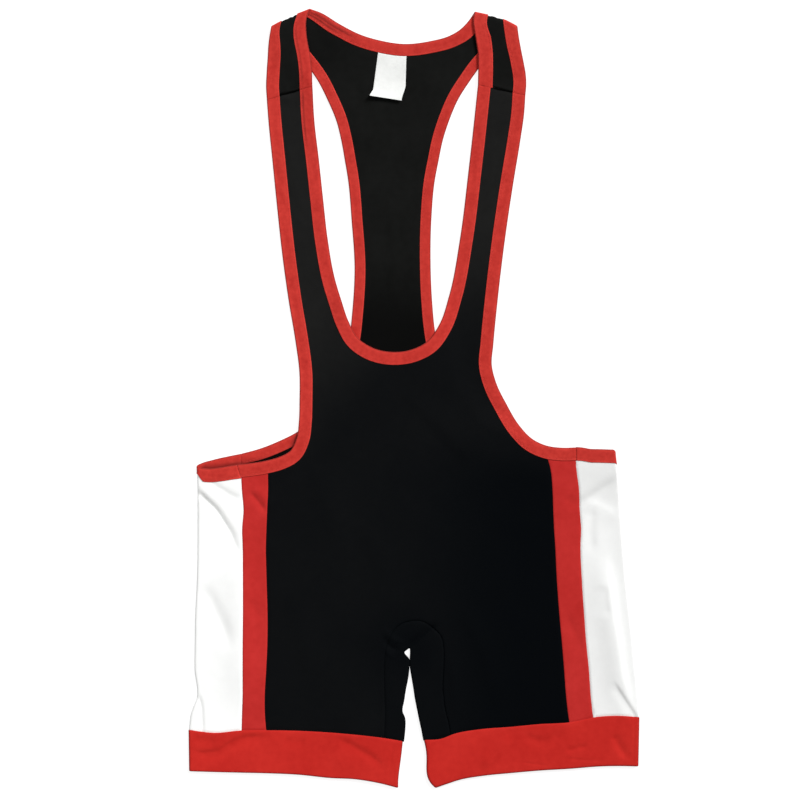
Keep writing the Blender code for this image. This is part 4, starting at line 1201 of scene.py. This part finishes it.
def fold_axis_x(side, y):
    return seam_x("fold_" + side, y) + side_sign(side) * SIDE_INSET


def wrapped(axis, across, way, lift):
    """Places round a fold: axis points, unit directions inwards, way round it, and lift."""
    lift = np.broadcast_to(lift, len(axis))
    inward = np.maximum(np.abs(way) - QUARTER, 0)
    flat = axis + across * inward[:, None]
    turn = np.clip(way / FOLD_RADIUS, -math.pi / 2, math.pi / 2)
    bends = np.abs(way) < QUARTER
    low, high = back_height(flat), front_height(flat)
    placed = np.column_stack([flat, np.where(way > 0, high + lift, low - lift)])
    reach = (FOLD_RADIUS + lift) * np.cos(turn)
    placed[bends, :2] = (axis - across * reach[:, None])[bends]
    rise = low + (high - low) * (1 + np.sin(turn)) / 2 + lift * np.sin(turn)
    placed[bends, 2] = rise[bends]
    return placed


def on_side(side, points, lift):
    """Places of pattern points of a side piece: x is the way round its fold, to the front."""
    way, y = points.T
    axis = np.column_stack([fold_axis_x(side, y), y])
    across = np.tile((side_sign(side), 0.0), (len(points), 1))
    return wrapped(axis, across, way, lift)


def side_x(side, way, y):
    """x of a pattern point of a side piece."""
    return fold_axis_x(side, y) + side_sign(side) * np.maximum(np.abs(way) - QUARTER, 0)


def side_edge_y(side, way):
    """y of a side panel's free edge, some way round its fold."""
    rows = SIDE_EDGES[side][np.argsort(SIDE_EDGES[side][:, 0])]
    x = side_x(side, way, SIDE_TOPS[side][0][1])
    back, front = (np.interp(x, rows[:, 0], rows[:, k]) for k in (1, 2))
    around = np.clip(way / QUARTER, -1, 1)
    return back + (front - back) * (1 + around) / 2


def side_front_way(side, y, x):
    """Way round a side's fold to a place on the front layer."""
    return QUARTER + (x - fold_axis_x(side, y)) * side_sign(side)


def side_width(side, way):
    """Width of a side binding some way round its fold: narrow on the fold and at the back seam."""
    reach = abs(SIDE_TOPS[side][0][0] - fold_axis_x(side, SIDE_TOPS[side][0][1]))
    back = SIDE_BINDING + (NARROW_ARM - SIDE_BINDING) * smoothstep(0.3, 1.0, -way / reach)
    return back - SIDE_PINCH[side] * (1 - smoothstep(0.8, 6.0, np.abs(way)))


def side_inner_y(side, way):
    """y of a side binding's edge on the cloth, some way round its fold."""
    return side_edge_y(side, way) - side_width(side, way)


def side_panel(side):
    sign, white = side_sign(side), "white_" + side

    def seam_way(y):
        return side_front_way(side, y, seam_x(white, y))

    def front_way(y):
        from_end = np.minimum(seam_top - y, y - low_front - ALLOWANCE)
        return side_front_way(side, y, seam_x(white, y) + sign * allowance(from_end))

    def back_way(y):
        return -side_front_way(side, y, seam_x(white, y) - sign * SEAM_GAP)

    low_front = hem_corner(side, seam_x(white, HEM_LEVEL))
    edge_y = side_edge_y(side, seam_way(TOP_LEVEL))
    seam_top, top_front = edge_y - SIDE_BINDING, edge_y - (SIDE_BINDING - TUCK)
    top_back = SIDE_TOPS[side][0][1] - NARROW_ARM + TUCK
    low_back = low_front + ALLOWANCE + SEAM_GAP
    front_y = np.linspace(top_front, low_front, 110)
    back_y = np.linspace(low_back, top_back, 70)
    front = np.column_stack([front_way(front_y), front_y])
    back = np.column_stack([back_way(back_y), back_y])
    ways = np.concatenate([np.arange(back[-1][0] + 2, -QUARTER - 0.5, EDGE_STEP),
                           np.linspace(-QUARTER, QUARTER, FOLD_COLUMNS),
                           np.arange(QUARTER + 2, front[0][0] - 1, EDGE_STEP)])
    top = np.column_stack([ways, side_inner_y(side, ways) + TUCK])
    low_y = height_on(HEM_TOPS[side], side_x(side, ways, low_back))
    low_y = low_y + SEAM_GAP - (ALLOWANCE + SEAM_GAP) * past_bend(ways)
    low = np.column_stack([ways, low_y])
    outline = joined([top, front, low[::-1], back])

    def sink(points):
        way, y = points.T
        flat = np.column_stack([side_x(side, way, y), y])
        fade = fade_at_ends(side_inner_y(side, way) - y, flat)
        return under_seam(way - seam_way(y)) * fade + hem_sink(below_hem(flat)) * past_bend(way)

    # painted shade: a shadow line along the left fold; on the right, shade over the panel, deeper
    # in a trough and towards the top, lighter along a ridge
    def shade(points):
        way, y = points.T
        if side == "left":
            return LEFT_FOLD_SHADOW * (1 - smoothstep(1.8, 3.6, np.abs(way)))
        flat = np.column_stack([side_x(side, way, y), y])
        share = nearest_on(flat, RIGHT_SHADED_TROUGH)[1]
        trough = (1 - 0.7 * share) * beside(flat, RIGHT_SHADED_TROUGH, 6)
        top = 0.5 * smoothstep(-112, -96, y)
        return RIGHT_PAINTED_SHADE * ((1 - 0.6 * beside(flat, RIGHT_LIT_RIDGE, 10)) * (1 + top) + trough)

    grid = fold_grid(FOLD_WAYS, np.arange(top_front, low_back, -2.2))
    return cloth_panel("side_panel_" + side, outline, lambda p, lift: on_side(side, p, lift), sink,
                       WHITE_KNIT, "white_knit", SIDE_SPACING, lambda p: p[:, 0] > FLAT_WAY,
                       [well_inside(grid, outline, clearance=1.6)], shade)


def side_binding(side, seed):
    """Binding on a side panel's top, from the back seam round the fold to the front seam."""
    front_x = {"left": FRONT_ARM_LEFT, "right": FRONT_ARM_RIGHT}[side][-1][0]
    lean = FRONT_SEAM_CUT[side][0] / -FRONT_SEAM_CUT[side][1]
    back_x = SIDE_TOPS[side][0][0]
    edge_axis = fold_axis_x(side, SIDE_TOPS[side][0][1])
    back_reach, front_reach = abs(back_x - edge_axis), abs(front_x - edge_axis)
    shares = np.linspace(0, 1, 22)
    stations = [(-share, -QUARTER) for share in shares[:0:-1]]
    stations += [(0.0, way) for way in np.linspace(-QUARTER, QUARTER, ROLL_STEPS + 1)]
    stations += [(share, QUARTER) for share in shares[1:]]
    shares, bends = np.array(stations).T
    ways = bends + np.where(shares < 0, shares * back_reach, shares * front_reach)
    along = ways - ways[0]
    width = side_width(side, ways)
    across, lift = binding_section(along, width, seed)
    y = side_edge_y(side, ways)[:, None] - across
    seam = np.where(shares[:, None] < 0, back_x, front_x + lean * across)
    reach = np.abs(seam - fold_axis_x(side, y)) - SEAM_GAP
    way = bends[:, None] + shares[:, None] * reach
    spots = np.stack([way, y], axis=-1).reshape(-1, 2)
    placed = on_side(side, spots, lift.ravel()).reshape(*across.shape, 3)
    name = "side_binding_" + side
    shade = np.tile((np.abs(ways) < 0.8)[:, None] * 0.55, (1, across.shape[1]))
    if side == "left":
        flat = np.stack([side_x(side, way, y), y], axis=-1).reshape(-1, 2)
        inner = opening_shade(flat).reshape(across.shape) * (ways < 0.5)[:, None]
        shade = np.maximum(shade, OPENING_TONE * inner)
    piece = section_piece(name, placed, along, across, width, shade)
    length = along[-1]

    def seat(s):
        way = ways[0] + s
        flat = np.column_stack([way, side_inner_y(side, way) + STITCH_INSET])
        return on_side(side, flat, H - STITCH_SUNK)

    stitch_row(name, [seat], length)


def stripe(side, strips):
    tuck = tuck_line(strips["arm_" + side])
    tuck = tuck[tuck[:, 1] < 0]

    def edge(colour, hand):
        column = colour + side
        top = height_on(tuck, seam_x(column, TOP_LEVEL))
        low = hem_corner(side, seam_x(column, HEM_LEVEL))
        return run_down(lambda y: seam_x(column, y) + hand * side_sign(side) * SEAM_GAP, top, low)

    inner, outer = edge("black_", -1), edge("white_", 1)
    top_x = np.linspace(outer[0][0], inner[0][0], 12)
    low_x = np.linspace(outer[-1][0], inner[-1][0], 12)
    top = np.column_stack([top_x, height_on(tuck, top_x)])
    outline = joined([top, inner, along_hem(side, low_x)[::-1], outer[::-1]])

    def sink(points):
        x, y = points.T
        gap = np.min([np.abs(x - seam_x(colour + side, y)) for colour in ("black_", "white_")], 0)
        return over_seam(gap) * seam_fade(points, strips) + hem_sink(below_hem(points))

    return cloth_panel("stripe_" + side, outline, on_front, sink, RED_KNIT, "red_knit",
                       SIDE_SPACING)


def gusset_row(way):
    """Points of the gusset's fold, and the ways from them to its seam, some way along it."""
    row = rows_at(way, GUSSET_ROWS[:, 0], GUSSET_ROWS[:, 1:])
    return row[:, :2], row[:, 2:] - row[:, :2]


def on_gusset(points, lift):
    """Places of pattern points of the gusset: x is the way along it, y the way round its fold."""
    fold, span = gusset_row(points[:, 0])
    across = span / np.linalg.norm(span, axis=1)[:, None]
    return wrapped(fold + across * SIDE_INSET, across, points[:, 1], lift)


def gusset():
    def seam_way(way):
        return QUARTER + np.linalg.norm(gusset_row(way)[1], axis=1) - SIDE_INSET

    def end_way(round_way, sign):
        reach = GUSSET_TUCK + (ALLOWANCE - GUSSET_TUCK) * past_bend(round_way)
        return -reach if sign < 0 else GUSSET_END + reach

    along = run(-ALLOWANCE, GUSSET_END + ALLOWANCE)
    from_end = np.minimum(along, GUSSET_END - along)
    front = np.column_stack([along, seam_way(along) + allowance(from_end + 2 * ALLOWANCE)])
    back_along = run(-GUSSET_TUCK, GUSSET_END + GUSSET_TUCK)
    back = np.column_stack([back_along, SEAM_GAP - seam_way(back_along)])
    first_round = run(back[0][1], front[0][1], 1.2)
    last_round = run(front[-1][1], back[-1][1], 1.2)
    start = np.column_stack([end_way(first_round, -1), first_round])
    end = np.column_stack([end_way(last_round, 1), last_round])
    outline = joined([front, end, back[::-1], start])

    def sink(points):
        way, round_way = points.T
        from_hem = np.minimum(way, GUSSET_END - way)
        return under_seam(round_way - seam_way(way)) + hem_sink(-from_hem) * past_bend(round_way)

    def shade(points):
        way, round_way = points.T
        fold, span = gusset_row(way)
        front = np.maximum(round_way, QUARTER)
        share = (front - QUARTER + SIDE_INSET) / (seam_way(way) - QUARTER + SIDE_INSET)
        flat = fold + span * share[:, None]
        return np.where(round_way > 0, np.maximum(front_shade(flat), 0.85), BODY_TONE)

    grid = fold_grid(run(1.8, GUSSET_END - 1.8, 2.2), FOLD_WAYS)
    return cloth_panel("gusset", outline, on_gusset, sink, BLACK_KNIT, "black_knit", GUSSET_SPACING,
                       lambda p: np.abs(p[:, 1]) > FLAT_WAY, [grid], shade)


HEM_FOLD_TONE = 0.8             # shade of a hem band's bends and of its lower fold


def hem_band(side):
    """Doubled band: front, bend, back, bend all round the leg, with a rounded lower fold."""
    inset = HEM_RADIUS + HEM_WALL / 2
    depths = np.concatenate([[0, 0.12, 0.4, 0.8], np.linspace(1.9, 38.1, 30),
                             [39.2, 39.6, 39.88, HEM_DEPTH]])
    count, bend = 150, 9
    rows, shades = [], []
    for depth in depths:
        line = hem_line(side, depth / HEM_DEPTH)
        total = arc_lengths(line)[-1]
        flat = points_at(line, np.linspace(inset, total - inset, count))
        height = crease_field(flat, FRONT_CREASES + HEM_CREASES) + undulation(flat)
        top = HEM_WALL / 2 + 2 * HEM_RADIUS + np.maximum(height, -1.15) \
            - SEAM_SINK * (1 - smoothstep(0, 1.5, depth))
        low = np.full(count, HEM_WALL / 2)
        row = [np.column_stack([flat, top])]
        row_shade = [np.zeros(count)]
        for end, before in ((-1, -2), (0, 1)):
            outward = unit(flat[end] - flat[before])
            turn = np.linspace(0, math.pi, bend + 2)[1:-1]
            if end == 0:
                turn = turn[::-1]
            middle, half = (top[end] + low[end]) / 2, (top[end] - low[end]) / 2
            place = flat[end] + np.outer(HEM_RADIUS * np.sin(turn), outward)
            row.append(np.column_stack([place, middle + half * np.cos(turn)]))
            row_shade.append(HEM_FOLD_TONE * smoothstep(0.4, 0.95, np.sin(turn)))
            if end == -1:
                row.append(np.column_stack([flat, low])[::-1])
                row_shade.append(np.zeros(count))
        rows.append(np.vstack(row))
        lower_fold = HEM_FOLD_TONE * smoothstep(38.8, 39.8, depth)
        shades.append(np.maximum(np.concatenate(row_shade), lower_fold))
    columns = len(rows[0])
    triangles = grid_triangles(len(rows), columns, around=True)
    distance = np.repeat(depths, columns)
    lower = np.clip((HEM_DEPTH - distance) / (HEM_WALL / 2), 0, 1)
    wall = rounded_wall(HEM_WALL, distance) * np.sqrt(1 - (1 - lower) ** 2)
    shell, faces, kept = thickened(np.vstack(rows), triangles, wall)
    around = np.tile(np.linspace(0, HEM_ROUND, columns), len(rows))
    uv = np.column_stack([around, distance])[kept]
    name = "hem_band_" + side
    piece = new_piece(name + "_cloth", shell, faces, uv, RED_HEM, "red_knit", name,
                      shade=np.concatenate(shades)[kept])
    turn_outward(piece)


def care_label(strips):
    """Small woven label, sewn on below the neck binding; its free end curls up."""
    rest = CLOTH_WALL / 2 + LABEL_WALL / 2 + 0.05
    top_left, top_right, low_right, low_left = (np.array(corner) for corner in LABEL_CORNERS)
    inner = inner_line(strips["neck"])
    inner = inner[(inner[:, 0] > -60) & (inner[:, 0] < 20) & (inner[:, 1] > 300)]
    downs = np.concatenate([[0, 0.0026, 0.0085], np.linspace(0.04, 0.96, 22), [0.9915, 0.9974, 1]])
    shares = np.concatenate([[0, 0.004, 0.0135], np.linspace(0.06, 0.94, 15), [0.9865, 0.996, 1]])
    points, distance = [], []
    for down in downs:
        for share in shares:
            top = top_left + (top_right - top_left) * share
            top[1] = height_on(inner, top[0]) - 0.15
            low = low_left + (low_right - low_left) * share
            flare = float(smoothstep(0.82, 1, down)) * (1 - share) ** 2
            lean = float(smoothstep(0.64, 1, down)) * share ** 2
            place = top + (low - top) * down + (-2.6 * flare - 3.5 * lean, 0.4 * flare)
            wave = 0.3 * math.sin(3.2 * share + 2.5 * down) * down
            points.append((*place, 3.0 * down ** 3 + 1.8 * flare + wave))
            distance.append(min(min(down, 1 - down) * LABEL_LENGTH,
                                min(share, 1 - share) * LABEL_WIDTH))
    points = np.array(points)
    points[:, 2] += back_height(points[:, :2]) + rest
    triangles = grid_triangles(len(downs), len(shares))
    wall = rounded_wall(LABEL_WALL, np.array(distance))
    shell, faces, kept = thickened(points, triangles, wall)
    piece = new_piece("care_label_cloth", shell, faces, points[kept, :2], LABEL_SATIN,
                      "label_satin", "care_label")
    turn_outward(piece)


# ---- Materials ----
def feed(tree, made, inputs):
    """Give a node's inputs a value each, or another node's output."""
    for key, value in inputs.items():
        if isinstance(value, bpy.types.NodeSocket):
            tree.links.new(value, made.inputs[key])
        else:
            made.inputs[key].default_value = value


def node(tree, kind, inputs, **settings):
    made = tree.nodes.new(kind)
    for key, value in settings.items():
        setattr(made, key, value)
    feed(tree, made, inputs)
    return made


def math_node(tree, operation, first, second):
    return node(tree, "ShaderNodeMath", {0: first, 1: second}, operation=operation).outputs[0]


def attribute(tree, name):
    return node(tree, "ShaderNodeAttribute", {}, attribute_name=name).outputs["Fac"]


def mixed(tree, factor, first, second):
    """Colour between two others."""
    mix = node(tree, "ShaderNodeMix", {"Factor": factor}, data_type="RGBA")
    numbers = [number for number, socket in enumerate(mix.inputs) if socket.type == "RGBA"]
    feed(tree, mix, dict(zip(numbers, (first, second))))
    return next(socket for socket in mix.outputs if socket.type == "RGBA")


def cloth_material(name, dark, light, roughness, specular, sheen, pitch, relief, blotches, rim=0.0,
                   deep=None):
    """Knit: mottled colour, rows of loops, soft sheen, and a deep colour where it is shaded.

    pitch and relief are those of its loops, blotches are scale and weight pairs, and rim is how
    much lighter a binding's edges are.
    """
    deep = deep or [0.3 * part for part in dark]
    material = bpy.data.materials.new(name)
    material.use_nodes = True
    tree = material.node_tree
    place = node(tree, "ShaderNodeTexCoord", {}).outputs["Object"]
    total = None
    for scale, weight in blotches:
        spots = node(tree, "ShaderNodeTexNoise", {"Vector": place, "Scale": scale, "Detail": 3.0})
        part = math_node(tree, "MULTIPLY", spots.outputs["Fac"], weight)
        total = part if total is None else math_node(tree, "ADD", total, part)
    if rim:
        edge = math_node(tree, "MULTIPLY", attribute(tree, "rim"), rim)
        total = math_node(tree, "ADD", total, edge)
    weights = sum(weight for _, weight in blotches)
    ramp = node(tree, "ShaderNodeMapRange", {
        "Value": total, "From Min": 0.32 * weights, "From Max": 0.68 * weights + rim})
    knit = mixed(tree, ramp.outputs[0], (*dark, 1), (*light, 1))
    cloth = node(tree, "ShaderNodeUVMap", {}, uv_map="cloth").outputs["UV"]
    waves = []
    for direction, stretch in (("X", 1.0), ("Y", 1.3)):
        scale = math.pi / 10 / (pitch * stretch * MM)
        wave = node(tree, "ShaderNodeTexWave", {
            "Vector": cloth, "Scale": scale, "Distortion": 0.6, "Detail": 1.0},
            wave_type="BANDS", bands_direction=direction)
        waves.append(wave.outputs["Fac"])
    loops = math_node(tree, "MULTIPLY", waves[0], math_node(tree, "ADD", 0.5, waves[1]))
    bump = node(tree, "ShaderNodeBump", {
        "Strength": relief, "Distance": 0.12 * MM, "Height": loops})
    feed(tree, tree.nodes["Principled BSDF"], {
        "Base Color": mixed(tree, attribute(tree, "shade"), knit, (*deep, 1)),
        "Roughness": roughness, "Specular IOR Level": specular, "Sheen Weight": sheen,
        "Sheen Roughness": 0.5, "Normal": bump.outputs["Normal"]})
    return material


BLACK_KNIT = cloth_material("black_knit_look", (0.0080, 0.0080, 0.0078), (0.0112, 0.0112, 0.0108),
                            0.8, 0.05, 0.0, 0.6, 0.5, ((18, 1.0), (140, 0.6)),
                            deep=(0.0001, 0.0007, 0.0015))
BLACK_INSIDE = cloth_material("black_knit_inside", (0.0046, 0.0048, 0.0044),
                              (0.0076, 0.0079, 0.0074), 0.85, 0.05, 0.0, 0.6, 0.5,
                              ((18, 1.0), (140, 0.6)))
RED_KNIT = cloth_material("red_knit_look", (0.442, 0.0155, 0.013), (0.526, 0.0245, 0.0215),
                          0.75, 0.12, 0.05, 0.6, 0.5, ((22, 1.0), (160, 0.7)))
RED_HEM = cloth_material("red_hem_look", (0.472, 0.0138, 0.0098), (0.558, 0.022, 0.0155),
                         0.75, 0.1, 0.03, 0.6, 0.5, ((22, 1.0), (160, 0.7)))
RED_ELASTIC = cloth_material("red_elastic_look", (0.44, 0.0185, 0.013), (0.71, 0.052, 0.037),
                             0.7, 0.14, 0.06, 0.5, 0.6, ((60, 0.7), (260, 1.0)), 0.6)
RED_THREAD = cloth_material("red_thread_look", (0.46, 0.020, 0.018), (0.60, 0.036, 0.030),
                            0.6, 0.2, 0.05, 0.3, 0.4, ((120, 1.0), (600, 0.6)))
WHITE_KNIT = cloth_material("white_knit_look", (0.90, 0.905, 0.895), (0.945, 0.95, 0.94),
                            0.8, 0.15, 0.05, 0.6, 0.4, ((16, 1.0), (120, 0.6)))
LABEL_SATIN = cloth_material("label_satin_look", (0.80, 0.81, 0.79), (0.88, 0.89, 0.87),
                             0.5, 0.2, 0.0, 0.35, 0.5, ((60, 1.0), (300, 0.6)))


# ---- Room ----
def room():
    """White floor and world, a sun, a soft lamp, and the photograph's camera."""
    mesh = bpy.data.meshes.new("floor")
    size = 4.0
    corners = [(-size, -size), (size, -size), (size, size), (-size, size)]
    mesh.from_pydata([(x, y, -0.3 * MM) for x, y in corners], [], [(0, 1, 2, 3)])
    material = bpy.data.materials.new("floor_paper")
    material.use_nodes = True
    feed(material.node_tree, material.node_tree.nodes["Principled BSDF"], {
        "Base Color": (0.3, 0.3, 0.3, 1), "Roughness": 0.9, "Specular IOR Level": 0.1,
        "Emission Color": (1, 1, 1, 1), "Emission Strength": 0.85})
    mesh.materials.append(material)
    floor = new_object("floor", mesh)

    world = bpy.data.worlds.new("studio")
    world.use_nodes = True
    feed(world.node_tree, world.node_tree.nodes["Background"], {
        "Color": (1, 1, 1, 1), "Strength": 0.19})
    bpy.context.scene.world = world

    key = bpy.data.lights.new("key", "SUN")
    key.angle = 0.35
    key.energy = 3.75
    fill = bpy.data.lights.new("fill_softbox", "AREA")
    fill.shape = "DISK"
    fill.size = 0.8
    fill.energy = 9.5
    for lamp, place in ((key, (1.3, 1.4, 1.45)), (fill, (-1.2, 0.2, 1.5))):
        light = new_object(lamp.name, lamp)
        light.location = place
        light.rotation_euler = (-Vector(place)).to_track_quat("-Z", "Y").to_euler()

    view = bpy.data.cameras.new("camera")
    view.sensor_width = 36.0
    view.lens = 107.84          # about a millimetre of the floor for each pixel
    camera = new_object("camera", view)
    camera.location = (-0.014, -0.002, 2.4)
    bpy.context.scene.camera = camera
    bpy.context.scene.view_settings.view_transform = "Standard"


# ---- The singlet ----
def dress():
    """Build every piece."""
    back, front = back_strips(), front_strips()
    piece = back_panel(back)
    piece = front_panel(front)
    piece = gusset()
    care_label(back)
    flat_binding("neck_binding_back", back["neck"], on_back, 11, (1, -1))
    flat_binding("neck_binding_front", front["neck"], on_front, 12)
    for number, side in enumerate(("left", "right")):
        flat_binding("arm_binding_back_" + side, back["arm_" + side], on_back, 20 + number, (1, -1))
        flat_binding("arm_binding_front_" + side, front["arm_" + side], on_front, 30 + number)
        side_binding(side, 40 + number)
        piece = side_panel(side)
        piece = stripe(side, front)
        hem_band(side)


room()
dress()
